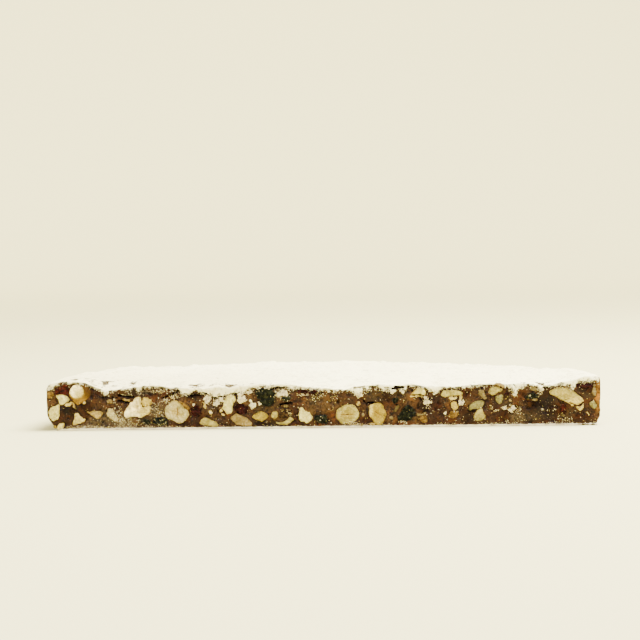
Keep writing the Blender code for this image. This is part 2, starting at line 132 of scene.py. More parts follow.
# The outline of each nut and fruit at the cut: a walk round it
OUTLINES = {
    "almond_01": ((-1449, 191), (7, 5), (22, 1), (23, -5), (13, -10), (9, -11), (-6, -11), (-14, -8),
        (-11, -11), (-11, -3), (-14, 9), (-4, 16), (-8, 17)),
    "almond_02": ((-1287, 104), (17, -3), (25, 4), (25, 2), (16, -4), (9, -11), (-6, -11), (-11, -14),
        (-17, -7), (-11, 7), (-13, 9), (-14, 11)),
    "almond_03": ((-671, 33), (8, 20), (17, 9), (25, -3), (22, -12), (19, -9), (10, -17), (-10, -8),
        (-22, -1), (-17, 6), (-22, 3), (-19, 4)),
    "almond_04": ((-505, 57), (14, 16), (19, 10), (20, -9), (27, -10), (22, -14), (17, -17), (-3, -16),
        (-22, -4), (-30, 3), (-28, 4), (-17, 17)),
    "almond_05": ((-391, 64), (17, 13), (19, 11), (17, 6), (19, -6), (14, -11), (10, -10), (-10, -12),
        (-14, -9), (-14, -9), (-16, 7), (-20, 6), (-14, 5)),
    "almond_06": ((-264, 39), (17, -7), (30, 5), (23, 11), (13, 14), (14, -5), (4, -12), (-15, -14),
        (-22, -11), (-28, -2), (-25, 8)),
    "almond_07": ((637, 178), (8, 13), (20, 6), (27, 2), (28, -3), (28, -6), (11, -8), (-9, -11), (-22, -3),
        (-22, -2), (-25, -3), (-22, -2), (-14, 5)),
    "almond_08": ((790, 96), (3, 19), (19, 16), (22, 8), (25, 3), (14, -8), (-3, -17), (-11, -17),
        (-25, -5), (-22, -2), (-17, -3)),
    "almond_09": ((1224, 182), (7, 11), (17, 7), (22, 5), (27, 2), (23, -5), (22, -10), (25, -14),
        (19, -14), (17, -17), (8, -14), (-11, -11), (-20, -10), (-22, 5), (-16, 9), (-17, -3), (-11, 3),
        (-17, 9), (-22, 14), (-22, 14), (-22, 8)),
    "cherry_01": ((-1458, 208), (11, 14), (27, 24), (20, 13), (11, 2), (8, -10), (2, -14), (4, -11),
        (-4, -19), (-3, -14), (-18, 3), (-28, 3), (-22, -2)),
    "cherry_02": ((-721, 106), (11, 16), (17, 10), (19, -10), (14, -17), (3, -22), (-17, -11), (-22, -2),
        (-17, 14)),
    "cherry_03": ((-488, 115), (16, 16), (25, 5), (22, -8), (17, -14), (-3, -22), (-14, -14), (-19, -3),
        (-20, 12), (-16, 14)),
    "cherry_04": ((1284, 96), (8, 14), (14, 2), (7, -16), (-2, -20), (-14, -8), (-11, 9)),
    "green_fruit_01": ((-926, 56), (14, 13), (22, -3), (22, -3), (22, -8), (3, -20), (-17, -11), (-22, -4),
        (-28, 4), (-16, 9)),
    "green_fruit_02": ((-366, 207), (17, 11), (22, 3), (19, 5), (19, -6), (14, -11), (14, -14), (3, -14),
        (-11, -13), (3, -17), (-9, -17), (-19, -13), (-22, 0), (-17, 14), (-11, 14), (-14, 14), (-8, 20)),
    "green_fruit_03": ((-222, 170), (16, 9), (23, -4), (8, -17), (-17, -12), (-25, 4)),
    "green_fruit_04": ((-53, 55), (14, 13), (24, 8), (23, -8), (16, -14), (6, -17), (-14, -11), (-28, -2),
        (-27, 11)),
    "green_fruit_05": ((373, 144), (9, 14), (16, 4), (11, -10), (-2, -14), (-14, -8), (-14, 3)),
    "green_fruit_06": ((402, 55), (16, 25), (17, 19), (11, 17), (22, 5), (17, -14), (11, -19), (8, -12),
        (-8, -10), (-17, -17), (-11, -14), (-28, -2), (-27, 3), (-11, 8)),
    "green_fruit_07": ((1097, 159), (14, 12), (25, 4), (25, -6), (8, -14), (-14, -11), (-28, 1), (-22, 3)),
    "hazelnut_01": ((-1378, 199), (6, 25), (16, 20), (22, 8), (28, 3), (19, -5), (17, -14), (10, -22),
        (-3, -22), (-13, -19), (-16, -14), (-20, -8), (-19, -14), (-14, 14), (-15, 20), (-12, 14)),
    "hazelnut_02": ((-860, 107), (6, 17), (14, 11), (13, 14), (20, 10), (16, -2), (14, -14), (14, -17),
        (14, -14), (16, -11), (7, -17), (-7, -17), (-13, -16), (-14, -14), (-20, -4), (-19, 6), (-19, 10),
        (-20, 8), (-14, 14), (-6, 17)),
    "hazelnut_03": ((68, 70), (7, 25), (16, 16), (22, 11), (22, 5), (23, 0), (16, -11), (14, -17), (6, -19),
        (-3, -20), (-11, -19), (-17, -11), (-22, -8), (-25, 0), (-19, 3), (-17, 17), (-11, 14)),
    "hazelnut_04": ((246, 79), (3, 28), (3, 14), (22, 10), (22, 2), (19, -5), (13, -11), (-2, -17),
        (12, -19), (5, -14), (-8, -16), (-9, -22), (-11, -17), (-19, 0), (-19, 14), (-11, 17), (-14, 14)),
    "nut_piece_01": ((-1490, 103), (10, 19), (19, 12), (23, 10), (7, -8), (2, -28), (-2, -36), (-11, -8),
        (-19, -8), (-8, -3), (-14, 14), (-7, 17)),
    "nut_piece_02": ((-1345, 92), (11, 0), (14, -13), (14, -11), (14, -11), (-9, -14), (-19, -3), (-19, -8),
        (-17, 3), (0, 14), (7, 19)),
    "nut_piece_03": ((-1175, 94), (5, 14), (16, 9), (14, -7), (3, -16), (11, -11), (11, -12), (3, -14),
        (-11, -13), (-11, 3), (-12, 14), (-16, 8), (-11, 8)),
    "nut_piece_04": ((-1081, 93), (14, 22), (16, 22), (17, 19), (16, 17), (17, 8), (14, -3), (2, -14),
        (-4, -22), (9, -22), (26, 7), (18, 2), (1, -15), (-8, -20), (-17, -13), (-13, -13), (-25, -1),
        (-22, 6), (-20, -2), (-16, -6), (-17, 6), (-10, 11)),
    "nut_piece_05": ((-983, 159), (12, 13), (17, 3), (17, -11), (7, -17), (-3, -13), (-21, -2), (-22, -7),
        (-8, 17)),
    "nut_piece_06": ((-544, 129), (11, 36), (17, 15), (19, 7), (20, -9), (2, -19), (-11, -22), (-5, -20),
        (-3, -27), (-11, -8), (-17, 5), (-16, 12), (-13, 13)),
    "nut_piece_07": ((-128, 111), (14, 5), (16, -22), (20, -11), (14, -14), (8, -9), (-8, -14), (-14, -16),
        (-17, -5), (-14, 11), (-16, 0), (-9, 20), (-1, 27)),
    "nut_piece_08": ((474, 176), (19, 20), (17, 17), (16, 4), (17, 0), (8, -11), (6, -19), (-6, -9),
        (-39, -1)),
    "nut_piece_09": ((690, 130), (16, 5), (17, -3), (11, -22), (-3, -14), (-19, -5), (-17, 11), (-5, 14)),
    "nut_piece_10": ((815, 48), (5, 22), (14, 17), (14, 11), (14, -6), (8, -17), (8, -14), (0, -13),
        (-11, -11), (-16, -8), (-14, -3), (-14, 8)),
    "nut_piece_11": ((838, 175), (7, 20), (22, 2), (9, -14), (5, -16), (4, -14), (-12, -7), (-14, 10),
        (-11, 14)),
    "nut_piece_12": ((894, 191), (9, 17), (20, 8), (22, 0), (16, -6), (11, -11), (-5, -11), (-17, -5),
        (-14, -11), (-16, -3), (-17, 8)),
    "nut_piece_13": ((934, 158), (14, 11), (19, 2), (7, -11), (-2, -22), (-2, -14), (-11, -5), (-14, 11),
        (-9, 14)),
    "nut_piece_14": ((1457, 186), (4, 19), (8, 16), (8, -14), (6, -22), (-3, -19), (-5, -8), (-12, 5),
        (-6, 14)),
    "nut_piece_15": ((1443, 116), (9, 14), (17, 6), (8, -12), (6, -14), (-3, -16), (-11, -6), (-14, 12)),
    "peel_01": ((526, 49), (9, 11), (13, 2), (17, -8), (3, -14), (-6, -17), (-16, -2), (-14, 11)),
    "peel_02": ((676, 61), (11, 19), (22, 8), (19, -8), (6, -17), (-14, -14), (-22, -2), (-17, 3)),
    "peel_03": ((1055, 123), (12, 14), (19, 4), (19, -10), (-1, -17), (-18, -6), (-19, 3)),
}
# Bits of nut too small to be nodes: their colour, and a walk round each
BITS = (
    (CREAM, (
        ((-1407, 138), (15, 12), (17, 4), (8, 7), (7, -10), (-4, -13), (-14, -10), (-19, 2)),
        ((-1443, 31), (12, 9), (23, 0), (2, -15), (-2, -14), (-12, -7), (-19, 3), (-4, 10)),
        ((-1302, 151), (10, 5), (9, -5), (-6, -6), (-10, 0)),
        ((-650, 144), (8, 0), (6, -17), (-3, -16), (-9, 5)),
        ((-563, 99), (11, 9), (8, -7), (-3, -11), (-11, -1)),
        ((-555, 83), (11, 3), (13, -12), (-7, -6), (-13, 6)),
        ((471, 163), (3, 9), (30, -1), (33, -1), (-2, -5), (-36, -2)),
        ((679, 152), (11, 10), (19, -2), (17, 8), (2, -11), (-14, -11), (-22, -2)),
        ((734, 165), (11, 6), (7, -11), (-4, -13), (-11, -1)),
        ((898, 114), (11, 2), (5, -5), (-8, -3)),
        ((1325, 122), (17, -10), (19, -9), (17, -9), (16, -17), (11, 9), (6, 11), (0, 23), (-6, -10),
         (-19, -11), (-22, 3), (-22, 18)),
        ((1423, 72), (7, 3), (13, -17), (-2, -5), (-9, 8)),
    )),
    (BEIGE, (
        ((-1360, 158), (10, -9), (7, -17), (-5, -10), (-7, 4), (-4, 14)),
        ((-1090, 167), (14, 5), (20, -3), (12, -8), (-7, -6), (-25, 3)),
        ((174, 128), (11, 14), (14, 4), (1, -22), (-12, -8)),
        ((246, 24), (17, 4), (16, -7), (-5, -9), (-22, 2)),
        ((1006, 146), (8, 1), (10, -10), (-6, -5), (-10, 6)),
        ((984, 150), (9, 4), (2, -7), (-7, -2)),
    )),
    (AMBER_CREAM, (
        ((-1465, 27), (9, 5), (9, -6), (0, -12), (-11, -3), (-7, 7)),
    )),
    (AMBER_DULL, (
        ((-1179, 161), (17, 8), (19, -9), (-3, -14), (-22, 1)),
        ((918, 221), (16, 11), (22, 2), (24, -12), (4, -12), (-10, -3), (-15, 10), (-23, 5)),
    )),
    (YELLOW_CREAM, (
        ((-621, 99), (11, 6), (9, -11), (-4, -14), (-11, 1)),
    )),
    (LIGHT_GREEN, (
        ((-284, 68), (9, 19), (20, 6), (8, -14), (-3, -20), (-14, -5), (-16, 6)),
    )),
    (DULL_CREAM, (
        ((-217, 123), (17, 5), (11, -7), (-5, -9), (-17, 1)),
        ((358, 53), (10, 7), (11, -6), (-4, -12), (-13, 0)),
        ((207, 74), (9, 8), (7, -14), (-5, -8), (-8, 3)),
        ((163, 14), (22, 5), (39, -3), (-6, -6), (-44, -1)),
        ((507, 79), (11, -10), (17, 4), (19, 6), (5, -6), (-11, -9), (-22, -2), (-14, 1)),
        ((1130, 142), (10, 8), (18, -1), (3, -10), (-14, -6), (-13, 1)),
        ((1114, 204), (13, 14), (25, -6), (14, -14), (-11, -11), (-22, 3)),
        ((903, 99), (14, 4), (6, -7), (-9, -6), (-9, 2)),
    )),
    (DIM, (
        ((379, 89), (11, 22), (19, 11), (4, -11), (-17, -26)),
        ((1286, 60), (11, 5), (14, -11), (-5, -8), (-14, 3)),
        ((1392, 2), (22, 6), (33, 0), (30, -1), (-2, -6), (-50, -1)),
    )),
)
# Bits of fruit too small to be nodes: a walk round each
DARK_BITS = {
    "cherry": (
        ((-142, 194), (6, 15), (25, 4), (24, -4), (5, -16), (-24, -4), (-22, 2)),
        ((-80, 193), (7, 15), (28, 0), (30, -8), (-13, -16), (-25, -3), (-20, 4)),
        ((984, 171), (5, 12), (14, 3), (8, -10), (-8, -9)),
        ((521, 154), (5, 11), (17, 0), (-1, -14), (-13, -6)),
        ((1372, 220), (20, 10), (33, 2), (25, -4), (7, -18), (-24, -13), (-30, 3), (-23, 8)),
    ),
    "peel": (
        ((-1494, 203), (11, 9), (19, -3), (8, -15), (-13, -19), (-17, 0), (-8, 11)),
        ((-785, 156), (19, -3), (28, -19), (14, -22), (-9, -9), (-16, 13), (-20, 18)),
    ),
    "brown": (
        ((-246, 87), (18, 18), (28, 5), (22, -17), (-3, -23), (-13, -14), (-23, -8), (-22, 11)),
    ),
    "green": (
        ((-982, 48), (17, 8), (25, -6), (3, -17), (-23, -8), (-19, 9)),
    ),
}
# How low the icing sugar hangs over the cut: a walk from its left end
SUGAR_LINE = traced((
    (-1499, 220), (15, -2), (22, 5), (21, 15), (20, 11), (20, 11), (12, 1), (8, -17), (11, -5), (14, 6),
    (16, 7), (24, 3), (22, -1), (16, -11), (17, -10), (27, -1), (22, -12), (13, -16), (11, -13), (13, -2),
    (14, 9), (8, 9), (14, 9), (30, 3), (27, -1), (16, -4), (22, 2), (21, 4), (17, -7), (16, -2), (16, 9),
    (22, 6), (22, 2), (32, -2), (44, 5), (38, -4), (21, -2), (17, -21), (16, -17), (27, -2), (14, 8),
    (22, 7), (20, 0), (20, -6), (29, -6), (17, -9), (17, -6), (22, -3), (16, 8), (34, 2), (38, 6), (17, 7),
    (44, 3), (17, 5), (22, 11), (42, 6), (33, 8), (55, 2), (31, -5), (19, -3), (14, -9), (42, 3), (27, 5),
    (28, 4), (16, -9), (23, 6), (31, -7), (18, -11), (34, -3), (28, -8), (23, 8), (63, -8), (17, -3),
    (16, -8), (17, -7), (11, 5), (8, 11), (9, 11), (19, 2), (14, 12), (44, 2), (16, -6), (15, -8),
    (41, -12), (14, -3), (5, 8), (23, 7), (35, -5), (12, 23), (47, -2), (39, -5), (22, -11), (6, -17),
    (27, -3), (19, -3), (12, 11), (13, 11), (17, 11), (22, 6), (39, -8), (28, -3), (19, 5), (8, 14),
    (28, -14), (75, 2), (23, 8), (16, 5), (28, 11), (22, -5), (19, -4), (11, -13), (14, -11), (14, -12),
    (11, -13), (6, -12), (8, 9), (8, 16), (14, 14), (28, 2), (14, 14), (19, 5), (22, -11), (14, -11),
    (8, -28), (6, 14), (11, 22), (29, 7), (19, -3), (14, -8), (19, 5), (23, 5), (16, -8), (19, -6),
    (17, -11), (8, 8), (11, 14), (6, 12), (22, 3), (49, 3), (45, -3), (9, -12),
))
# Blotches of the dough: their colour, then the place, half width and half height of each
WASHES = (
    (RUST, ((-148.4, 20.5, 2.7, 2.2), (-93, 16.1, 2.7, 2.2), (-72.4, 7.2, 2.2, 3.3), (-51.3, 7.8, 1.6, 1.1),
        (-38.2, 9.6, 1.6, 1.6), (-14.4, 15.3, 4.9, 2.7), (5.2, 6.9, 2.2, 2.7), (36.1, 12, 2.7, 2.7),
        (9, 2, 10.8, 1.1), (43.7, 1.7, 5.4, 1.4), (66.5, 4.7, 4.3, 2.2), (104.4, 15.1, 2.2, 2.2),
        (108.8, 12.9, 3.3, 2.2), (141.9, 13.1, 2.2, 2.7), (148.4, 7.1, 1.6, 4.9))),
    (CARAMEL, ((-147.3, 16.1, 2.2, 2.7), (-75.7, 14.8, 2.7, 2.2), (-10, 13.1, 2.2, 2.2),
        (37.2, 5, 2.7, 2.7), (48, 15.7, 3.3, 2.2), (67.5, 13.3, 2.2, 2.7), (148.9, 18.4, 1.6, 4.9))),
    (NEAR_BLACK, ((-138.1, 10.6, 3.3, 2.2), (-72.4, 18.1, 3.3, 1.6), (116.9, 11.2, 4.9, 3.8))),
    (RED_BROWN, ((-140.8, 5.8, 3.3, 2.2), (-128.3, 8.9, 2.7, 1.6), (-86, 19.6, 6.5, 1.6),
        (-69.2, 5, 4.3, 2.7), (-14.4, 7.7, 1.6, 3.8), (-16.5, 1.7, 5.4, 1.6), (75.7, 10, 1.6, 2.2),
        (77.3, 17.6, 3.3, 2.2), (58.9, 2, 6.5, 1.6), (91.4, 13.1, 3.3, 2.2), (95.2, 7.1, 6, 3.3),
        (107.7, 17.8, 2.2, 1.1), (129.4, 8.9, 2.7, 2.7), (138.6, 4.5, 4.9, 2.7), (143.5, 20.1, 4.3, 2.2),
        (121.8, 2.5, 7.6, 1.6))),
    (DARK_BROWN, ((-129.4, 13.2, 3.3, 2.2), (-100.6, 20.5, 4.3, 2.2), (-74.6, 2.4, 4.3, 1.6),
        (-30.1, 2.4, 7.6, 1.6), (34.4, 16.4, 3.3, 2.7), (54, 11.3, 2.2, 2.2), (78.9, 5.6, 2.7, 3.3),
        (122.9, 7.9, 4.3, 3.3), (121.8, 13.9, 2.7, 4.3))),
    (PLUM, ((-123.4, 20.8, 2.7, 2.7), (23.1, 3.5, 2.7, 2.2), (62.1, 10.7, 4.9, 4.3))),
    (BROWN, ((-119.1, 14.8, 2.7, 2.2), (-110.9, 21.2, 3.3, 1.6), (-61.6, 10.4, 3.3, 2.7),
        (-54.5, 4.9, 3.3, 2.7), (9, 16.1, 8.7, 3.3), (22, 10.6, 2.2, 3.8), (85.4, 12.1, 6.5, 6.5))),
    (GREY_BROWN, ((-121.2, 5.6, 5.4, 2.2), (-89.8, 10.1, 3.3, 2.7), (-109.3, 4.3, 4.3, 2.2),
        (-21.4, 19.2, 3.3, 2.2), (105.5, 4.8, 3.3, 2.2))),
    (OLIVE, ((-118.5, 9.9, 1.6, 2.2), (-96.3, 4.7, 3.3, 1.6), (-33.4, 10.6, 4.3, 1.6), (-3, 15.2, 3.3, 2.7),
        (-27.9, 15.4, 2.2, 4.3), (27.9, 17.6, 4.3, 2.2), (41.5, 17.4, 4.3, 2.2), (99.5, 14.1, 3.3, 3.3),
        (115.3, 4.2, 5.4, 2.2), (132.6, 5.6, 3.3, 2.7), (143.5, 16.3, 3.3, 1.6))),
    (GOLDEN, ((-24, 5.5, 4, 2.7), (-42, 16.7, 2.7, 2.2), (-6.8, 9.2, 1.6, 2.2), (3.5, 14, 5.4, 3.8),
        (51.3, 4.3, 2.7, 2.2), (77.8, 12.7, 2.2, 2.2))),
)
# Cracks and hollows of the dough: both ends, width, depth
CRACKS = (
    (-120.1, 17.8, -116.2, 17.8, 0.8, 1.4), (-114.3, 18, -111.8, 17.5, 0.8, 1.4),
    (-110.8, 18.9, -102.9, 18.1, 1.8, 2.4), (-111.2, 15.7, -104.8, 14.8, 1.5, 2.2),
    (-140, 14.9, -136.7, 16, 0.4, 0.8), (-135.6, 11.8, -133.4, 10.7, 0.8, 0.8),
    (-142.8, 0.3, -136.7, 0.5, 0.6, 1.2), (-127.3, 23.4, -124.5, 22.2, 1.1, 0.9),
    (-120.6, 17.7, -123.4, 20, 0.8, 0.6), (-87.4, 16.7, -78, 20.8, 1.1, 1.6),
    (-78.9, 20.8, -77.7, 20.9, 0.9, 1.8), (-97.3, 20.8, -93.2, 19.4, 2.5, 1),
    (-85.4, 13.7, -82.7, 15.4, 0.4, 0.8), (-88.2, 22.9, -80.5, 22.7, 0.6, 0.8),
    (-104.3, 6.8, -100.4, 6.9, 0.8, 0.8), (-73.3, 18.4, -69.7, 18.5, 1.1, 1.4),
    (-85.4, 6.3, -83.8, 4.9, 1.1, 0.8), (-73.5, 18.6, -66, 18.3, 1.4, 1.2),
    (-64.9, 19.7, -62.4, 18.7, 1.1, 1.6), (-61.3, 18, -57.4, 16.5, 0.9, 1.6),
    (-48.8, 19.2, -45.2, 18.9, 1.2, 1.5), (-55.8, 13.2, -55.8, 11.5, 0.6, 0.5),
    (-51.3, 1, -39.2, 0.7, 0.6, 1), (-57.4, 3, -50.2, 1.5, 0.7, 0.8), (-57.4, 9.9, -55.8, 8.2, 0.8, 0.8),
    (-23.2, 12.9, -17.2, 13.9, 1.4, 2.6), (-27.5, 21.8, -22.2, 22, 1.4, 1.4),
    (-13.9, 20.5, -8.4, 19.9, 1.8, 1.2), (-7.8, 19.9, -1.7, 19.3, 1.8, 1.2),
    (-18.1, 9.2, -17.2, 9.5, 0.7, 1), (-13.9, 10.5, -13.6, 4.2, 0.8, 0.7),
    (-28.9, 5.7, -26.1, 3.5, 0.7, 0.7), (-37.2, 3, -28, 1.8, 1.4, 0.6), (24.6, 13.5, 27.1, 13.4, 1.4, 2.2),
    (22.1, 14.3, 23.8, 12.4, 1.1, 0.9), (16.6, 21.6, 22.4, 22.2, 0.7, 1.4),
    (33.5, 21.8, 37.6, 21.1, 0.9, 1.6), (37.6, 20.8, 43.4, 21.6, 1.5, 1.8),
    (20.2, 0.7, 30.2, 0.6, 0.6, 1.2), (23, 12.4, 24.6, 9, 0.8, 0.6), (39.3, 7.2, 40.7, 5.8, 1.1, 0.6),
    (38.8, 21.9, 44, 21.8, 1.4, 1.8), (47.6, 17.6, 55.4, 17.6, 0.3, 0.9),
    (55.1, 21.4, 56.8, 18.7, 0.7, 1.4), (56.8, 15.3, 58.2, 14.8, 1.2, 1.8),
    (63.7, 19.4, 68.1, 21, 0.7, 0.7), (68.1, 21, 75, 19.3, 0.7, 0.7), (72.3, 14.1, 74.8, 11.5, 0.7, 1),
    (70.6, 16.3, 73.1, 15.2, 0.7, 1.2), (78.9, 9, 82.2, 8.7, 0.8, 1.2), (55.4, 14.2, 56.5, 10.4, 0.7, 0.8),
    (45.2, 19.6, 47.1, 18.8, 0.8, 1), (79, 8.6, 82, 8.1, 0.9, 1.2), (88.9, 16.4, 93.1, 16.6, 0.8, 0.8),
    (99.5, 24, 101.1, 22.1, 0.6, 1.2), (103.3, 22.6, 104.7, 20.6, 0.7, 1.2), (79.3, 23.1, 80.9, 22, 0.6, 1),
    (93.1, 12.7, 93.4, 16.1, 0.7, 0.7), (104.4, 10.1, 106.1, 9.8, 0.8, 0.9),
    (109.4, 13.7, 116.6, 12.5, 1.1, 0.6), (93.9, 2.1, 98.4, 2, 0.4, 0.9),
    (112.7, 16.1, 115.5, 16.9, 1.2, 0.9), (135.6, 11.4, 140, 12, 1.2, 2.6),
    (134.7, 19.2, 140.8, 15, 0.8, 0.8), (127.5, 13.5, 131.4, 11.2, 0.7, 0.7),
    (127, 1.7, 129.2, 1.7, 0.5, 1), (142.7, -0.3, 146.3, -0.3, 0.4, 1.2),
    (118.9, 20.8, 124.5, 21.3, 1, 0.9), (118.4, 24.4, 118.9, 23.1, 0.4, 0.8),
    (138, 22.2, 145.2, 21.9, 1.9, 0.6), (117.6, 11.4, 120.3, 9.7, 1.7, 0.5),
)
# Drifts of crumbs: both ends, width, how many
DRIFTS = (
    (-86.8, 14.9, -77.4, 19.2, 1.9, 260), (-91.5, 21, -81.3, 21.1, 1.4, 140),
    (-113.1, 5.5, -100.1, 3.7, 3, 220), (-93.7, 10.3, -86, 9.1, 4.4, 150),
    (-112.3, 10.5, -107.9, 1.6, 3.6, 220), (-139.5, 1.6, -108.5, 1.8, 1, 200),
    (-99.8, 3.1, -85.4, 2.7, 1.1, 80), (-63.2, 18.5, -63, 14.4, 2.2, 60),
    (-59.6, 14.3, -54.7, 16.2, 2.2, 130), (-42.2, 19.7, -38.3, 20.2, 1.1, 70),
    (-25.3, 18.1, -19.4, 20, 3, 330), (-14.5, 18.3, -8.1, 18.2, 0.8, 90), (-7, 15.4, -0.3, 18.1, 2.2, 110),
    (-19.2, 9.2, -17.2, 7.5, 1.1, 30), (5, 15.3, 7.7, 17.5, 1.7, 40), (18, 19.6, 21.3, 18.5, 2.5, 80),
    (9.1, 2, 18, 2.7, 1.1, 60), (14.1, 3, 17.4, 3.8, 1.1, 30), (55.4, 15.9, 55.4, 16.5, 1.7, 40),
    (54, 13.7, 58.7, 13.7, 1.4, 90), (55.9, 13.1, 56.5, 10.4, 1.7, 50), (40.4, 3, 45.2, 2.9, 0.7, 40),
    (68.1, 15.5, 72.6, 15.7, 1.2, 40), (101.1, 9.3, 104.7, 9.8, 2.4, 110), (96.7, 9.6, 99.7, 9.8, 0.9, 50),
    (92.5, 8, 95, 9, 0.7, 30), (104.7, 8.7, 107.2, 7.6, 1.6, 40), (103.3, 3.5, 109.4, 4.3, 2.2, 26),
    (102.8, 19.3, 103.9, 16.5, 1.7, 110), (117.2, 21.1, 117.7, 16.9, 1.4, 110),
    (99.5, 3, 100, 2.3, 0.8, 25), (111.4, 16.4, 112.7, 16.1, 1.1, 14), (127.5, 4.1, 135.3, 2.3, 1.9, 80),
    (120.3, 11.3, 125.9, 8.5, 2.5, 12), (131.4, 1.5, 139.7, 0.9, 1.1, 50),
    (134.7, 20.6, 135.6, 19.8, 0.8, 30), (77, 22, 80.3, 22.3, 1.7, 50), (78.4, 22.3, 81.7, 21.2, 1.4, 50),
    (22.4, 20.4, 31.3, 21.1, 1.7, 70), (-146.9, 23.6, -149.4, 21.4, 1.1, 30),
)
# Clumps of icing sugar: place, half width
CLUMPS = (
    (-63, 16.6, 1.66), (-62.1, 17.4, 1.25), (-63.2, 14.7, 0.97), (-57.4, 14.3, 1.66), (-55.2, 16, 1.52),
    (-58.5, 13.8, 0.97), (-44.4, 17.5, 1.94), (-45.2, 15.3, 1.52), (-43.3, 16.1, 1.38), (-37.8, 12.7, 2.21),
    (-34.2, 13.7, 1), (-70.4, 13.2, 0.83), (-61, 9.1, 0.94), (-40.8, 19.7, 0.97), (-39.2, 20.1, 0.97),
    (-21.7, 19.5, 1.66), (-23.9, 18.4, 1.25), (-19.7, 18.3, 1.11), (-18.9, 15, 0.77), (-35.8, 20.1, 0.44),
    (-34.3, 13.8, 1), (-1.7, 4.3, 0.72), (-17.8, 6.8, 0.61), (-30.5, 3.5, 0.61), (-15.8, 11.7, 0.55),
    (-13.6, 11.2, 0.5), (19.9, 18.2, 1.38), (18.5, 18.8, 1.11), (37.6, 18.9, 0.94), (28.5, 20.5, 0.66),
    (13.8, 15.5, 0.5), (55.4, 15.8, 0.94), (55.4, 13.1, 1.22), (57.3, 13.4, 0.94), (74.5, 12.9, 1.66),
    (58.7, 15.5, 0.55), (42.9, 19.4, 1.11), (66.1, 7.5, 0.89), (67, 3.9, 0.61), (59.5, 8.8, 0.44),
    (58.4, 7.2, 0.5), (62.7, 9.2, 0.5), (70.9, 8.4, 0.72), (72.3, 8.1, 0.61), (42.9, 3.2, 0.5),
    (102.8, 9.6, 1.38), (101.7, 8.5, 1), (98.4, 9.7, 0.83), (106.8, 9.5, 0.72), (103.8, 17.1, 0.94),
    (104.2, 18.7, 0.83), (116.3, 15.8, 0.5), (111.9, 16.3, 0.55), (119, 8.7, 0.55), (81.8, 3.3, 0.5),
    (87.9, 3.8, 0.44), (118.8, 8.7, 0.61), (121.6, 8.3, 0.61), (125.6, 10.7, 0.66), (125.3, 9, 0.72),
    (118.4, 19.9, 1.11), (-119, 13, 0.5), (-112.9, 11.9, 0.77), (-113.3, 16.4, 0.72), (-117.6, 12, 0.5),
    (-124.8, 5.6, 0.55), (-89.2, 8.7, 0.72), (-101.2, 5.2, 0.66), (-87.4, 18.5, 0.44), (-89.3, 17.3, 0.61),
    (139.4, 4.1, 0.55), (136.7, 7.9, 0.5),
)


# Measuring and shaping

TOUCH = 0.002 * MM
JUST_INSIDE = 0.15 * MM
FAR = 0.5


def surface_of(meshes):
    """A search tree over meshes, to measure where their surfaces are."""
    bm = bmesh.new()
    for mesh in meshes:
        bm.from_mesh(mesh)
    tree = BVHTree.FromBMesh(bm)
    bm.free()
    return tree


CAD_DOUGH = surface_of([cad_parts["dough"].data])
CAD_SUGAR = surface_of([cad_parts["icing_sugar"].data])
CAD_WAFER = surface_of([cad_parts["wafer"].data])


def bell(x, centre, half_width):
    return math.exp(-(((x - centre) / half_width) ** 2))


def step(value, low, high):
    """0 below low, 1 above high, and a smooth ramp between."""
    share = min(1.0, max(0.0, (value - low) / (high - low)))
    return share * share * (3 - 2 * share)


def rough(place, *layers):
    """Uneven height at a place. Each layer is a height and the length of its lumps."""
    return sum(high * noise.noise(place / long) for high, long in layers)


def blend(first, second, share):
    return [a + (b - a) * share for a, b in zip(first, second)]


def cast(tree, start, direction):
    """Where a ray first meets a surface, or None."""
    return tree.ray_cast(start, direction)[0]


def top_of(tree, x, y):
    place = cast(tree, Vector((x, max(y, CUT + JUST_INSIDE), FAR)), Vector((0, 0, -1)))
    return place.z if place else 0.0


def only(kind, parts):
    return [part for part in parts if isinstance(part, kind)]


def open_edges(bm):
    return [edge for edge in bm.edges if edge.is_boundary]


def extrude(bm, edges):
    """Extrude open edges, and return the new points and the new edges."""
    grown = bmesh.ops.extrude_edge_only(bm, edges=edges)["geom"]
    return only(bmesh.types.BMVert, grown), only(bmesh.types.BMEdge, grown)


def made_mesh(bm, name="part"):
    mesh = bpy.data.meshes.new(name)
    bm.to_mesh(mesh)
    bm.free()
    return mesh


def placed(name, data):
    """A new object in the scene."""
    made = bpy.data.objects.new(name, data)
    bpy.context.scene.collection.objects.link(made)
    return made


def add_object(name, bm, finish, smooth=True):
    """Make a finished mesh an object."""
    mesh = made_mesh(bm, name)
    if smooth:
        mesh.shade_smooth()
    else:
        mesh.shade_flat()
    mesh.materials.append(finish)
    return placed(name, mesh)


def new_piece(name, bm, finish, nodes=(), smooth=True):
    """Make a finished mesh a piece of the object that stands for CAD nodes."""
    piece = add_object(name, bm, finish, smooth)
    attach(piece, BODY)
    if nodes:
        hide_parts(*nodes)
    return piece


# The shoulder of the rim is fuller than the solid's, and both ends are thicker
SHOULDER_OUT = 0.3 * MM
SHOULDER_UP = 0.9 * MM
LEFT_UP = 2.4 * MM
RIGHT_UP = 2.1 * MM
RIGHT_CORNER = 1.3 * MM
CORNER_OUT = 0.15
# Where each sets in and where it is whole: in from the rim, up, behind the cut, and along to either end
FROM_RIM = (12 * MM, 3 * MM)
FROM_BASE = (11 * MM, 20 * MM)
FROM_CUT = (0, 18 * MM)
TO_LEFT = ((122 * MM, 132 * MM, 0.25), (132 * MM, 141 * MM, 0.75))
TO_LEFT_BEHIND = (70 * MM, 135 * MM)
TO_RIGHT = (120 * MM, 140 * MM)
TO_CORNER = (130 * MM, 145 * MM)
# No point of the top is higher, and heights near it are pressed down softly
CEILING = 27.0 * MM
CEILING_SOFT = 0.8 * MM


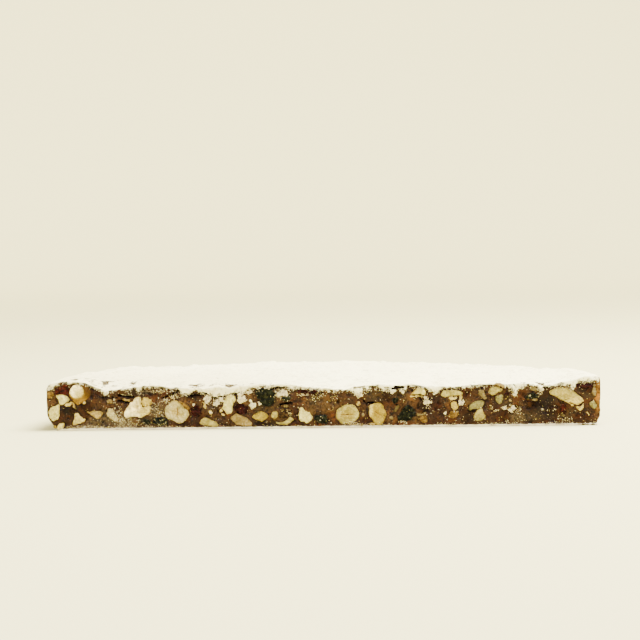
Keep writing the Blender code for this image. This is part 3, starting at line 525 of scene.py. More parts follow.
def fuller(place):
    """Where a point of the dough or the sugar lies once the shoulder and both ends are filled out."""
    out = place - MIDDLE
    out.z = 0
    near = step(out.length, RADIUS - FROM_RIM[0], RADIUS - FROM_RIM[1])
    high = step(place.z, *FROM_BASE)
    behind = step(place.y - CUT, *FROM_CUT)
    at_cut = sum(step(-place.x, low, full) * part for low, full, part in TO_LEFT)
    left = at_cut * (1 - behind) + step(-place.x, *TO_LEFT_BEHIND) * behind
    right = step(place.x, *TO_RIGHT)
    corner = RIGHT_CORNER * near * step(place.x, *TO_CORNER)
    rise = LEFT_UP * left + RIGHT_UP * right + SHOULDER_UP * near + corner
    outward = out.normalized() * (near * SHOULDER_OUT + corner * CORNER_OUT)
    return place + high * (outward + Vector((0, 0, rise)))


def under_ceiling(height):
    """Keep a height of the top under the ceiling, without a flat spot."""
    over = height - (CEILING - CEILING_SOFT)
    return height - over + CEILING_SOFT * (1 - math.exp(-over / CEILING_SOFT)) if over > 0 else height


# Shader maths

COAT_ROUGHNESS = 0.25


class Value:
    """A shader socket. A sum on it adds a Math node."""

    def __init__(self, finish, socket):
        self.finish = finish
        self.socket = socket

    def math(self, operation, *inputs):
        return self.finish.node("ShaderNodeMath", {"operation": operation}, dict(enumerate(inputs)))

    def __add__(self, other):
        return self.math("ADD", self, other)

    def __radd__(self, other):
        return self.math("ADD", other, self)

    def __sub__(self, other):
        return self.math("SUBTRACT", self, other)

    def __rsub__(self, other):
        return self.math("SUBTRACT", other, self)

    def __mul__(self, other):
        return self.math("MULTIPLY", self, other)

    def __rmul__(self, other):
        return self.math("MULTIPLY", other, self)

    def between(self, low, high):
        """0 at low and 1 at high, with a smooth ramp. Low may be the larger."""
        settings = {"interpolation_type": "SMOOTHSTEP"}
        return self.finish.node("ShaderNodeMapRange", settings, {0: self, 1: low, 2: high})


class Finish:
    """A material, and the nodes that work out its look."""

    def __init__(self, name, specular):
        self.material = bpy.data.materials.new(name)
        self.material.use_nodes = True
        self.tree = self.material.node_tree
        self.shader = self.tree.nodes["Principled BSDF"]
        self.put("Specular IOR Level", specular)
        self.put("Coat Roughness", COAT_ROUGHNESS)
        self.place = self.node("ShaderNodeTexCoord", output="Object")

    def put(self, name, value):
        self.wire(self.shader.inputs[name], value)

    def wire(self, socket, value):
        if isinstance(value, Value):
            self.tree.links.new(value.socket, socket)
        else:
            socket.default_value = value

    def node(self, kind, settings=None, inputs=None, output=0):
        made = self.tree.nodes.new(kind)
        for name, value in (settings or {}).items():
            setattr(made, name, value)
        for key, value in (inputs or {}).items():
            self.wire(made.inputs[key], value)
        return Value(self, made.outputs[output])

    def noise(self, long, roughness=0.55, distortion=0.0, detail=3.0):
        """Noise from 0 to 1 whose lumps are about this long."""
        inputs = {"Vector": self.place, "Scale": 1 / long, "Detail": detail, "Roughness": roughness,
                  "Distortion": distortion}
        return self.node("ShaderNodeTexNoise", None, inputs)

    def cells(self, long):
        """Distance to the nearest of many scattered points, 0 at each."""
        return self.node("ShaderNodeTexVoronoi", None, {"Vector": self.place, "Scale": 1 / long})

    def painted(self, name):
        """A number that the mesh holds for each point."""
        return self.node("ShaderNodeAttribute", {"attribute_name": name}, output="Fac")

    def tinted(self, name):
        """A colour that the mesh holds for each point."""
        return self.node("ShaderNodeAttribute", {"attribute_name": name}, output="Color")

    def dusted(self, long):
        """The dust that the mesh holds for each point, broken up into grains about this long."""
        return self.painted("dust") + (self.noise(long, 0.75) - 0.5) * 1.5

    def mix(self, share, first, second, how="MIX"):
        settings = {"data_type": "RGBA", "blend_type": how}
        return self.node("ShaderNodeMix", settings, {0: share, 6: first, 7: second}, output=2)

    def times(self, first, second):
        return self.mix(1.0, first, second, "MULTIPLY")

    def layered(self, colour, *layers):
        """A colour with others laid over it. Each layer is its share and its colour."""
        for share, other in layers:
            colour = self.mix(share, colour, other)
        return colour

    def relief(self, *layers):
        """Fine relief, coarse first. Each layer is a height from 0 to 1 and the depth that 1 stands for."""
        normal = None
        for height, depth in layers:
            inputs = {"Height": height, "Distance": depth, "Strength": 1.0}
            if normal:
                inputs["Normal"] = normal
            normal = self.node("ShaderNodeBump", None, inputs)
        self.put("Normal", normal)


def dough_finish():
    """Sticky honey dough: blotched brown, speckled with crumbs, dusted with sugar, with painted shade in its
    cracks, pits, grooves and hollows.
    """
    finish = Finish("honey_dough", 0.03)
    blotches = finish.noise(5.0 * MM, 0.6, 0.8)
    mottle = finish.noise(1.8 * MM, 0.6, 0.6)
    flecks = finish.noise(0.9 * MM, 0.65, 0.5)
    own = finish.tinted("wash")
    darker = finish.times(own, (0.42, 0.30, 0.25, 1))
    lighter = finish.times(own, (1.95, 1.65, 1.45, 1))
    specks = finish.cells(1.3 * MM) + (flecks - 0.5) * 0.5
    pale = specks.between(0.2, 0.08) * blotches.between(0.4, 0.52)
    sugared = finish.dusted(0.55 * MM).between(0.4, 0.62)
    colour = finish.layered(
        own,
        (blotches.between(0.5, 0.66) * 0.8, darker),
        (blotches.between(0.47, 0.33) * 0.7, lighter),
        (mottle.between(0.47, 0.34) * 0.8, NEAR_BLACK),
        (mottle.between(0.54, 0.68) * 0.8, lighter),
        (flecks.between(0.42, 0.32) * 0.6, DARK_BROWN),
        (pale * 0.45, FLECK),
        # Painted shade in cracks, pits, grooves and hollows, as dark as the mesh holds it
        (finish.painted("deep"), CREVICE_SHADE),
        (sugared * 0.75, DUST_AND_SHADE),
    )
    finish.put("Base Color", colour)
    finish.put("Roughness", mottle * 0.35 + 0.2 + sugared * 0.4)
    finish.put("Coat Weight", blotches.between(0.45, 0.6) * 0.13 - sugared * 0.3)
    finish.relief((mottle, 0.6 * MM), (flecks + sugared * 0.5, 0.3 * MM))
    return finish.material


def sugar_finish():
    """Icing sugar: near white powder, grainy, thin and speckled where the dough shows through, with painted
    shade in its pits and on the left of its top.
    """
    finish = Finish("icing_sugar", 0.0)
    drifts = finish.noise(7.0 * MM)
    grain = finish.noise(0.7 * MM, 0.75)
    lumps = finish.noise(1.8 * MM, 0.65, detail=4.0)
    pits = (lumps - 0.5) * 1.6 + (grain - 0.5) * 1.2 + drifts - 0.5
    bare = (finish.painted("thin") + (grain - 0.5) * 2.0 + (lumps - 0.5) * 0.9).between(0.46, 0.78)
    colour = finish.layered(
        SUGAR_WHITE,
        # Painted shade in the powder's pits, darker in the deepest
        (pits.between(0.0, 0.4) * 0.9, SUGAR_SHADE),
        (pits.between(0.3, 0.6) * 0.8, DUST_AND_SHADE),
        # Painted shade on the left of the top
        (finish.painted("left_shade") * (lumps + 0.1), SUGAR_SHADE),
        (bare * 0.96, SHOWING_THROUGH),
    )
    finish.put("Base Color", colour)
    finish.put("Roughness", 0.95)
    finish.relief((1.0 - lumps, 0.7 * MM), (1.0 - grain - bare * 0.5, 0.35 * MM))
    return finish.material


def clump_finish():
    """Crumbs of icing sugar: duller than the layer, in patches of two duller colours."""
    finish = Finish("sugar_crumb", 0.0)
    patches = finish.noise(1.4 * MM, 0.7)
    finish.put("Base Color", finish.mix(patches.between(0.4, 0.66), SUGAR_SHADE, DUST_AND_SHADE))
    finish.put("Roughness", 0.9)
    finish.relief((finish.noise(0.35 * MM, detail=2.0), 0.15 * MM))
    return finish.material


def nut_finish(name, roughness):
    """A cut nut: its own cream, mottled, a little darker at its edge, and with painted shade in its slits."""
    finish = Finish(name, 0.06)
    own = finish.tinted("tint")
    cloud = finish.noise(2.8 * MM, 0.55, 0.4)
    spots = finish.noise(0.95 * MM, 0.6, 0.6)
    grain = finish.noise(0.5 * MM, 0.7, detail=2.0)
    lighter = finish.times(own, (1.55, 1.65, 2.0, 1))
    darker = finish.times(own, (0.55, 0.56, 0.42, 1))
    mottled = finish.layered(
        own,
        (cloud.between(0.5, 0.66) * 0.85, lighter),
        (cloud.between(0.48, 0.34) * 0.7, darker),
        (spots.between(0.52, 0.64) * 0.75, darker),
        (spots.between(0.46, 0.34) * 0.6, lighter),
        (grain.between(0.58, 0.72) * 0.35, MOTTLE),
    )
    colour = finish.layered(
        mottled,
        (finish.painted("edge") * (spots * 1.4 - 0.2), finish.times(mottled, (0.55, 0.42, 0.25, 1))),
        # Painted shade in the slits
        (finish.painted("slit_shade") * 0.9, SLIT_SHADE),
        (finish.dusted(0.6 * MM).between(0.4, 0.6) * 0.7, SUGAR_SHADE),
    )
    finish.put("Base Color", colour)
    finish.put("Roughness", grain * 0.3 + (roughness - 0.15))
    finish.relief((1.0 - spots, 0.35 * MM), (grain, 0.15 * MM))
    return finish.material


def fruit_finish(name, inner, outer, coat):
    """Candied fruit: dark and glassy, lighter in places, with a little sugar on it."""
    finish = Finish(name, 0.03)
    cloud = finish.noise(1.7 * MM, 0.65, 0.6)
    grain = finish.noise(0.5 * MM, 0.7, detail=2.0)
    glassy = cloud.between(0.5, 0.62)
    sugared = finish.cells(0.9 * MM).between(0.2, 0.1) * glassy
    colour = finish.times(finish.mix(cloud.between(0.42, 0.66), inner, outer), finish.tinted("tint"))
    finish.put("Base Color", finish.mix(sugared * 0.3, colour, BEIGE))
    finish.put("Roughness", grain * 0.4 + 0.12 + sugared * 0.3)
    finish.put("Coat Weight", glassy * coat)
    finish.relief((cloud, 0.5 * MM), (grain, 0.16 * MM))
    return finish.material


def wafer_finish():
    """Starch wafer: pale and papery, browned where honey has soaked in."""
    finish = Finish("starch_wafer", 0.2)
    soak = finish.noise(9.0 * MM, 0.6, detail=4.0)
    grain = finish.noise(0.6 * MM, 0.7, detail=2.0)
    colour = finish.layered(
        WAFER_CREAM,
        (soak.between(0.5, 0.7) * 0.8, WAFER_SOAKED),
        (grain.between(0.5, 0.8) * 0.35, SUGAR_SHADE),
    )
    finish.put("Base Color", colour)
    finish.put("Roughness", 0.8)
    finish.relief((grain, 0.15 * MM))
    return finish.material


# Nuts and fruit

FRUIT = ("cherry", "green_fruit", "peel")
# The mesh of a piece: its fineness, how far it stands out of the dough, and how deep a bit goes
FINE = 0.26 * MM
PROUD = 0.38 * MM
BIT_DEPTH = 1.8 * MM
BIT_PROUD = 0.35 * MM
# How a piece closes inside the dough: share of the last width, share of its depth
BACK = ((1.0, 0.3), (0.82, 0.7), (0.5, 1.0))
SMOOTHINGS = 2
LOWEST = 0.1 * MM
# Relief of each kind: layers of height and length, in millimetres, and how much of it the cut keeps
RELIEF = {
    "hazelnut": (((0.4, 3.2), (0.2, 1.3), (0.12, 0.7)), 0.5),
    "almond": (((0.45, 3.0), (0.22, 1.2), (0.14, 0.7)), 0.55),
    "nut_piece": (((0.6, 2.4), (0.4, 1.1), (0.22, 0.6)), 0.7),
    "cherry": (((0.6, 2.2), (0.5, 1.1), (0.3, 0.6)), 0.7),
    "green_fruit": (((0.7, 2.2), (0.6, 1.0), (0.35, 0.6)), 0.75),
    "peel": (((0.5, 2.0), (0.4, 1.0), (0.25, 0.6)), 0.6),
}
# Each nut's own colour, where it isn't cream, and what the colour of a fruit is multiplied by
TINTS = {
    "almond_01": PALE_GREEN, "almond_02": BEIGE, "almond_03": LIGHT_GREEN, "almond_04": AMBER_DULL,
    "almond_05": AMBER_CREAM, "almond_06": LIGHT_GREEN, "almond_07": LIGHT_GREEN, "almond_08": GREEN_CREAM,
    "almond_09": LIGHT_GREEN, "hazelnut_01": AMBER, "hazelnut_02": GREY_CREAM, "hazelnut_03": LIGHT_GREEN,
    "hazelnut_04": AMBER_CREAM, "nut_piece_01": PALE_GREEN, "nut_piece_02": CREAM, "nut_piece_03": GREY_CREAM,
    "nut_piece_04": WHITE_CREAM, "nut_piece_05": YELLOW_CREAM, "nut_piece_06": PALE_GREEN,
    "nut_piece_07": PALE_GREEN, "nut_piece_08": PALE_GREEN, "nut_piece_09": YELLOW_CREAM,
    "nut_piece_10": LIGHT_GREEN, "nut_piece_11": DULL_CREAM, "nut_piece_12": LIGHT_GREEN,
    "nut_piece_13": GREEN_CREAM, "nut_piece_14": DULL_CREAM, "nut_piece_15": GREEN_CREAM,
    "cherry_01": (2.4, 2.8, 1.9, 1), "cherry_04": (2.3, 2.9, 2.2, 1), "peel_03": (0.22, 0.2, 0.45, 1),
}
# Nuts with a second colour: the colour, a place where it sets in, which way it lies, how softly it sets in
TWO_TONED = {
    "hazelnut_04": (CREAM, (26.2, 8.0), (-1.0, 0.2), 1.6),
    "nut_piece_07": (YELLOW_CREAM, (-7.6, 10.0), (1.0, 1.0), 2.2),
    "almond_09": (CREAM, (133.6, 14.0), (0.45, -1.0), 1.2),
    "hazelnut_02": (YELLOW_CREAM, (-76.6, 13.0), (0.6, 1.0), 3.0),
    "nut_piece_04": (CREAM, (-99.6, 11.0), (1.0, 0.0), 1.6),
    "nut_piece_08": (YELLOW_CREAM, (49.6, 17.6), (-1.0, 0.4), 2.0),
}
# Slits and cracks of cut nuts: both ends, width, depth
SLITS = {
    "hazelnut_02": ((-79.1, 11.4, -78.9, 9.0, 0.7, 0.5), (-79.4, 8.6, -79.2, 7.9, 0.5, 0.4)),
    "hazelnut_03": ((9.6, 7.2, 16.4, 7.2, 0.5, 0.4), (11.0, 5.2, 15.0, 5.1, 0.4, 0.25)),
    "hazelnut_04": ((27.9, 8.7, 30.1, 7.1, 0.45, 0.4), (30.1, 7.1, 33.6, 6.0, 0.45, 0.4)),
    "almond_09": ((127.4, 12.6, 133.6, 14.7, 0.4, 0.3),),
    "nut_piece_04": ((-101.0, 15.2, -100.4, 9.6, 1.3, 0.25),),
    "nut_piece_12": ((93.6, 17.6, 97.0, 18.9, 0.4, 0.4),),
}
# A slit this deep, in millimetres, takes its full painted shade
FULL_SLIT = 0.45
# One nut keeps its skin round a pale cut disc: the disc's place, half width and half height
SKINNED = "hazelnut_01"
PALE_DISC = (-133.4, 21.3, 3.7, 3.6)
SKIN_PUSHED_IN = 0.6 * MM
DISC_PROUD = 0.5 * MM
# How the middle of a cut nut differs from its edge
HEART = (1.0, 0.9, 0.68, 1.0)


def cut_solid(outline, proud, depth):
    """A closed piece that has this outline at the cut, finely and evenly meshed."""
    bm = bmesh.new()
    middle_x = MM * sum(x for x, _ in outline) / len(outline)
    middle_z = MM * sum(z for _, z in outline) / len(outline)
    ring = bmesh.ops.create_circle(bm, cap_ends=True, segments=len(outline), radius=1.0)["verts"]
    for v, (x, z) in zip(ring, outline):
        v.co = Vector((x * MM, CUT - proud, z * MM))
    face = bm.faces[:]
    for wide, deep in BACK:
        face = only(bmesh.types.BMFace, bmesh.ops.extrude_face_region(bm, geom=face)["geom"])
        for v in face[0].verts:
            narrowed_x = middle_x + (v.co.x - middle_x) * wide
            v.co = Vector((narrowed_x, CUT + deep * depth, middle_z + (v.co.z - middle_z) * wide))
    bmesh.ops.recalc_face_normals(bm, faces=bm.faces)
    solid = placed("rough_cut", made_mesh(bm, "rough_cut"))
    remesh = solid.modifiers.new("fine", "REMESH")
    remesh.mode = "VOXEL"
    remesh.voxel_size = FINE
    bm = bmesh.new()
    bm.from_mesh(solid.evaluated_get(bpy.context.evaluated_depsgraph_get()).data)
    bpy.data.objects.remove(solid)
    every_way = {"use_axis_x": True, "use_axis_y": True, "use_axis_z": True}
    for _ in range(SMOOTHINGS):
        bmesh.ops.smooth_vert(bm, verts=bm.verts, factor=0.5, **every_way)
    return bm


def away_from_line(x, z, x0, z0, x1, z1):
    """How far a place is from a line between two places."""
    long = (x1 - x0) ** 2 + (z1 - z0) ** 2
    share = min(1.0, max(0.0, ((x - x0) * (x1 - x0) + (z - z0) * (z1 - z0)) / long)) if long else 0.0
    return math.hypot(x - x0 - share * (x1 - x0), z - z0 - share * (z1 - z0))


def away_from_outline(x, z, outline):
    return min(away_from_line(x, z, *a, *b) for a, b in zip(outline, outline[1:] + outline[:1]))


def slit_at(node, place, x, z):
    """How dark the painted shade in a nut's slits is at a place, and how deep they are."""
    dark = deepest = 0.0
    for x0, z0, x1, z1, wide, deep in SLITS.get(node, ()):
        wander = 0.2 * noise.noise(place / (0.8 * MM))
        near = bell(away_from_line(x, z, x0, z0, x1, z1) + wander, 0, wide / 2)
        dark = max(dark, near * min(1.0, deep / FULL_SLIT))
        deepest = max(deepest, deep * MM * near)
    return dark, deepest


def two_toned(node, colour, place, x, z):
    """A nut's colour at a place, with its second colour where it has one."""
    if node not in TWO_TONED:
        return colour
    second, (x0, z0), (dx, dz), soft = TWO_TONED[node]
    over = ((x - x0) * dx + (z - z0) * dz) / math.hypot(dx, dz)
    return blend(colour, second, step(over + 0.6 * noise.noise(place / (1.5 * MM)), -soft / 2, soft / 2))


def skinned(x, z):
    """The nut with its skin on, at a place: its colour, how dark its edge is and how far in it lies."""
    x0, z0, wide, tall = PALE_DISC
    dx, dz = x - x0, z - z0
    out = math.hypot(dx / wide, dz / tall)
    skin = blend(AMBER_CREAM, AMBER, step(out, 0.95, 1.25))
    skin = blend(skin, SKIN, step(dx + dz, -1.0, 5.5) * 0.85)
    disc = blend(WHITE_CREAM, CREAM, step(dx - dz, -1.0, 4.5))
    pushed = SKIN_PUSHED_IN * step(out, 0.96, 1.8) - DISC_PROUD
    return blend(disc, skin, step(out, 0.94, 1.06)), 0.7 * bell(out, 1.0, 0.07), pushed


def roughen(bm, kind, outline, colour, node=None):
    """Give a cut piece its relief and its colours."""
    layers, kept = RELIEF[kind]
    layers = [(high * MM, long * MM) for high, long in layers]
    tint = bm.verts.layers.float_color.new("tint")
    edge, slit_shade, dust = [bm.verts.layers.float.new(name) for name in ("edge", "slit_shade", "dust")]
    bm.normal_update()
    moves = []
    for v in bm.verts:
        x, z = v.co.x / MM, v.co.z / MM
        face = step(-v.normal.y, 0.4, 0.9)
        out = rough(v.co, *layers) * (1 - face + kept * face)
        dark, pushed = slit_at(node, v.co, x, z)
        if node == SKINNED:
            own, edged, pushed = skinned(x, z)
            pushed *= face
        else:
            away = away_from_outline(x, z, outline)
            own = two_toned(node, colour, v.co, x, z)
            own = blend(own, [level * part for level, part in zip(own, HEART)], step(away, 1.0, 4.5))
            edged = 1 - step(away, 0.0, 0.9)
        moves.append((v, v.normal * out + Vector((0, face * pushed, 0))))
        # Painted shade in the slits
        v[slit_shade] = dark * face
        v[edge] = edged
        v[tint] = list(own)
        v[dust] = dust_at(x, z)
    for v, move in moves:
        v.co += move
        v.co.z = max(v.co.z, LOWEST)


def joined(meshes):
    """Many meshes as one, which takes their place."""
    bm = bmesh.new()
    for mesh in meshes:
        bm.from_mesh(mesh)
        bpy.data.meshes.remove(mesh)
    return bm


def pieces_of(kind, name, finish, bits=(), nodes=None):
    """All the cut pieces of one kind, and loose bits of it, as one piece."""
    if nodes is None:
        nodes = [node for node in sorted(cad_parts) if node.startswith(kind)]
    meshes = []
    for node in nodes:
        outline = traced(OUTLINES[node])
        bm = cut_solid(outline, PROUD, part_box(node)[1].y - CUT)
        roughen(bm, kind, outline, TINTS.get(node, PLAIN if kind in FRUIT else CREAM), node)
        meshes.append(made_mesh(bm))
    for colour, walks in bits:
        for walk in walks:
            outline = traced(walk)
            bm = cut_solid(outline, BIT_PROUD, BIT_DEPTH)
            roughen(bm, kind, outline, colour)
            meshes.append(made_mesh(bm))
    return new_piece(name, joined(meshes), finish, nodes)


# The dough

CORE_INSET = 8.0 * MM
CORE_HEIGHT = 11.5 * MM
FAN_SQUASH = 0.6
CUT_COLUMNS = 800
RIM_COLUMNS = 420
ROWS = 60
CORNER_REACH = 22.0 * MM
# How the top is made finer: cuts in each edge that is longer than this
TOP_CUTS = ((5, 40 * MM), (2, 12 * MM))
# How far the dough's top keeps below the sugar's
SUGAR_ROOM = 0.5 * MM
# Relief of the cut and of the crust: layers of height and length
CUT_RELIEF = ((0.4 * MM, 4.5 * MM), (0.3 * MM, 1.7 * MM), (0.18 * MM, 0.8 * MM))
CRUST_RELIEF = ((0.6 * MM, 9 * MM), (0.4 * MM, 3.2 * MM), (0.18 * MM, 1.1 * MM))
# The cut lies a little inside the solid's face, and no lump stands further out than this
CUT_INSET = 0.1 * MM
MOST_PROUD = 0.2 * MM
# Small pits, and the groove beside a nut; both are also painted darker, as shade
PIT_LONG = 2.3 * MM
PIT_DEPTH = 2.4 * MM
PIT_SPARSE = 0.3
GROOVE_AWAY = 0.25 * MM
GROOVE_WIDE = 0.3 * MM
GROOVE_DEPTH = 0.3 * MM
# The plain brown counts this much among the blotches, and each blotch fades this sharply
PLAIN_BROWN = 0.12
WASH_SHARPNESS = 1.3
# The strip of crust at the right end of the cut starts here
END_STRIP = 147.2
# Places dusted with sugar: place, height, half width, half height, strength
DUSTED = (
    (-108, 5, 11, 5, 0.36), (-92, 11, 6, 4, 0.33), (-86, 5, 6, 3, 0.28), (-97, 17, 5, 2.5, 0.26),
    (-61, 11.5, 8, 5, 0.32), (-24, 18, 5, 3, 0.4), (-112, 15, 7, 4, 0.27), (102, 9, 4, 2, 0.14),
    (104, 4.5, 4, 1.8, 0.05), (-125, 6.5, 7, 5, 0.22), (-87.6, 16, 4, 3, 0.3), (-100, 20, 5, 2, 0.25),
    (-81, 20, 6, 2, 0.2), (58, 14, 4, 3, 0.2), (-132, 2.6, 10, 1.6, 0.3), (20, 2, 12, 1.6, 0.24),
    (128, 3.5, 10, 2.5, 0.2), (96, 18, 5, 4, 0.1), (-122, 19, 6, 2, 0.2), (-92, 21, 8, 1.6, 0.35),
    (36, 8, 3, 4, 0.12),
)


def rim_point(tree, angle, turn):
    """Where the rim is in a direction round the cake, at a turn of the fan from the base up to the top."""
    out = Vector((math.cos(angle), math.sin(angle), 0))
    core = MIDDLE + out * (RADIUS - CORE_INSET) + Vector((0, 0, CORE_HEIGHT))
    core.y = max(core.y, CUT + JUST_INSIDE)
    aim = (out * math.cos(turn) + Vector((0, 0, FAN_SQUASH * math.sin(turn)))).normalized()
    return cast(tree, core + aim * FAR, -aim), aim


def fan(angle):
    points = [rim_point(CAD_DOUGH, angle, math.pi * (row / ROWS - 0.5))[0] for row in range(ROWS + 1)]
    if abs(math.sin(angle)) < TOUCH:
        for point in points:
            point.y = CUT
    return points


def add_rim(bm):
    grid = bmesh.ops.create_grid(bm, x_segments=RIM_COLUMNS, y_segments=ROWS, size=0.5)["verts"]
    columns = [fan(math.pi * (1 - column / RIM_COLUMNS)) for column in range(RIM_COLUMNS + 1)]
    for v in grid:
        v.co = columns[round((v.co.x + 0.5) * RIM_COLUMNS)][round((v.co.y + 0.5) * ROWS)]
    return columns[0], columns[-1]


def add_cut(bm, left, right):
    """The cut face: a fine grid from base to top, drawn out to the rim's own outline at both ends."""
    grid = bmesh.ops.create_grid(bm, x_segments=CUT_COLUMNS, y_segments=ROWS, size=0.5)["verts"]
    xs = [left[0].x + (right[0].x - left[0].x) * column / CUT_COLUMNS for column in range(CUT_COLUMNS + 1)]
    tops = [left[-1].z, *(top_of(CAD_DOUGH, x, CUT) for x in xs[1:-1]), right[-1].z]
    for v in grid:
        column, row = round((v.co.x + 0.5) * CUT_COLUMNS), round((v.co.y + 0.5) * ROWS)
        share = row / ROWS
        place = Vector((xs[column], CUT, BASE + share * (tops[column] - BASE)))
        for end, side in ((left, xs[0]), (right, xs[-1])):
            fade = max(0.0, 1 - abs(xs[column] - side) / CORNER_REACH) ** 2
            place += fade * (end[row] - end[0].lerp(end[-1], share))
        v.co = place


def close_top_and_base(bm):
    """Close the base with one flat face, and the top with faces fine enough to follow its swells."""
    unclosed = open_edges(bm)
    upper = [edge for edge in unclosed if edge.verts[0].co.z > CORE_HEIGHT]
    border = {v for edge in upper for v in edge.verts}
    bmesh.ops.contextual_create(bm, geom=[edge for edge in unclosed if edge.verts[0].co.z < CORE_HEIGHT])
    lid = bmesh.ops.contextual_create(bm, geom=upper)["faces"]
    bmesh.ops.triangulate(bm, faces=lid, quad_method="BEAUTY", ngon_method="BEAUTY")
    for cuts, long in TOP_CUTS:
        edges = [edge for edge in bm.edges
                 if edge.verts[0].co.z > CORE_HEIGHT and edge.calc_length() > long]
        bmesh.ops.subdivide_edges(bm, edges=edges, cuts=cuts)
        many = [face for face in bm.faces if len(face.verts) > 4]
        many = [face for face in many if face.calc_center_median().z > CORE_HEIGHT]
        bmesh.ops.triangulate(bm, faces=many)
    for v in bm.verts:
        inside = (v.co - MIDDLE).to_2d().length < RADIUS - CORE_INSET - TOUCH and v.co.y > CUT + TOUCH
        if v.co.z > CORE_HEIGHT and v not in border and inside:
            v.co.z = top_of(CAD_DOUGH, v.co.x, v.co.y)


def crack_depth(x, z):
    """How deep the cracks are at a place on the cut, in metres."""
    deepest = 0.0
    for x0, z0, x1, z1, wide, deep in CRACKS:
        if min(x0, x1) - 2 < x < max(x0, x1) + 2 and min(z0, z1) - 2 < z < max(z0, z1) + 2:
            wander = 0.35 * noise.noise(Vector((x / 1.2, z / 1.2, x0)))
            thick = wide * (0.62 + 0.4 * noise.noise(Vector((x / 1.6, x1, z / 1.6))))
            away = away_from_line(x, z + wander, x0, z0, x1, z1)
            deepest = max(deepest, deep * (1 - step(away, thick * 0.35, thick * 0.85)))
    return deepest * MM


def wash_at(x, z):
    """The colour of the dough at a place on the cut."""
    x += 0.9 * noise.noise(Vector((x / 2.5, 0, z / 2.5)))
    z += 0.9 * noise.noise(Vector((x / 2.5, 7, z / 2.5)))
    total = PLAIN_BROWN
    colour = [total * level for level in BROWN[:3]]
    for wash, blotches in WASHES:
        for x0, z0, wide, tall in blotches:
            if abs(x - x0) < 2.5 * wide:
                near = math.exp(-WASH_SHARPNESS * (((x - x0) / wide) ** 2 + ((z - z0) / tall) ** 2))
                total += near
                colour = [level + near * own for level, own in zip(colour, wash)]
    return [level / total for level in colour] + [1.0]


def dust_at(x, z):
    """How much sugar dust lies at a place on the cut."""
    return sum(strong * math.exp(-((x - x0) / wide) ** 2 - ((z - z0) / tall) ** 2)
               for x0, z0, wide, tall, strong in DUSTED)


def cut_look(v, beside):
    """A point of the cut face: how far in it lies, its colour, how dark its painted shade is and how dusty.
    """
    x, z = v.co.x / MM, v.co.z / MM
    out = rough(v.co, *CUT_RELIEF)
    pit = max(0.0, noise.noise(v.co / PIT_LONG + Vector((9, 0, 0))) - PIT_SPARSE) * PIT_DEPTH
    crack = crack_depth(x, z)
    inward = -min(out, MOST_PROUD) + crack + pit + GROOVE_DEPTH * beside + CUT_INSET
    strip = step(x + noise.noise(v.co / (2 * MM)), END_STRIP, END_STRIP + 0.8) * step(z, 1, 4)
    colour = blend(wash_at(x, z), blend(CARAMEL, CARAMEL_LIT, step(z, 6, 12)), 0.85 * strip)
    # Painted shade: darker in deep cracks, beside a nut and in pits
    dark = min(0.95, step(crack, 0.2 * MM, 1.3 * MM) + 0.4 * beside + 0.5 * step(pit, 0, MM))
    dusty = dust_at(x, z) + 0.3 * bell(z, BASE / MM, 1.3) + 0.03
    return Vector((0, inward, 0)), colour, dark, dusty


def crust_look(v):
    """The same of a point of the rim or the top."""
    out = rough(v.co, *CRUST_RELIEF)
    baked = step(noise.noise(v.co / (8 * MM) + Vector((5, 5, 0))), -0.35, 0.35)
    strip = step(v.co.x / MM, END_STRIP - 4, END_STRIP)
    colour = blend(blend(CRUST, CARAMEL, baked), CARAMEL_LIT, strip * 0.6)
    # Painted shade in the hollows of the crust's relief
    dark = 0.5 * step(-out, 0.2 * MM, 0.8 * MM)
    return v.normal * out, colour, dark, 0.4 * step(v.co.z, 13 * MM, 21 * MM) + 0.03


def dough_piece(nuts):
    bm = bmesh.new()
    left, right = add_rim(bm)
    add_cut(bm, left, right)
    bmesh.ops.remove_doubles(bm, verts=bm.verts, dist=TOUCH)
    close_top_and_base(bm)
    bmesh.ops.recalc_face_normals(bm, faces=bm.faces)
    for v in bm.verts:
        v.co = fuller(v.co)
        v.co.z = under_ceiling(v.co.z + SUGAR_ROOM) - SUGAR_ROOM
    bm.normal_update()
    wash = bm.verts.layers.float_color.new("wash")
    # How dark the painted shade is, in cracks, pits, grooves and the crust's hollows
    deep = bm.verts.layers.float.new("deep")
    dust = bm.verts.layers.float.new("dust")
    moves = []
    for v in bm.verts:
        if v.co.y < CUT + TOUCH and v.normal.y < -0.3:
            # A groove runs beside a nut in places, with painted shade in it
            away = nuts.find_nearest(v.co)[3]
            beside = bell(away, GROOVE_AWAY, GROOVE_WIDE) * step(noise.noise(v.co / (2.5 * MM)), -0.3, 0.3)
            move, v[wash], v[deep], v[dust] = cut_look(v, beside)
        else:
            move, v[wash], v[deep], v[dust] = crust_look(v)
        moves.append((v, move * step(v.co.z - BASE, 0, 0.6 * MM)))
    for v, move in moves:
        v.co += move
    return new_piece("honey_dough", bm, dough_finish(), ["dough"])


# Icing sugar

SUGAR_COLUMNS = 300
SUGAR_ROWS = 60
FRONT_FINE = 9.0 * MM
FRONT_CUTS = 2
SKIRT_ROWS = 16
SKIRT_EDGE = 0.45 * MM
# How far down the skirt ends, as a turn from level: its lowest, its ragged spread, and less at both ends
SKIRT_LOWEST = math.radians(40)
SKIRT_SPREAD = math.radians(14)
SKIRT_RIGHT = math.radians(34)
SKIRT_LEFT = math.radians(16)
SKIRT_ENDS = 0.12
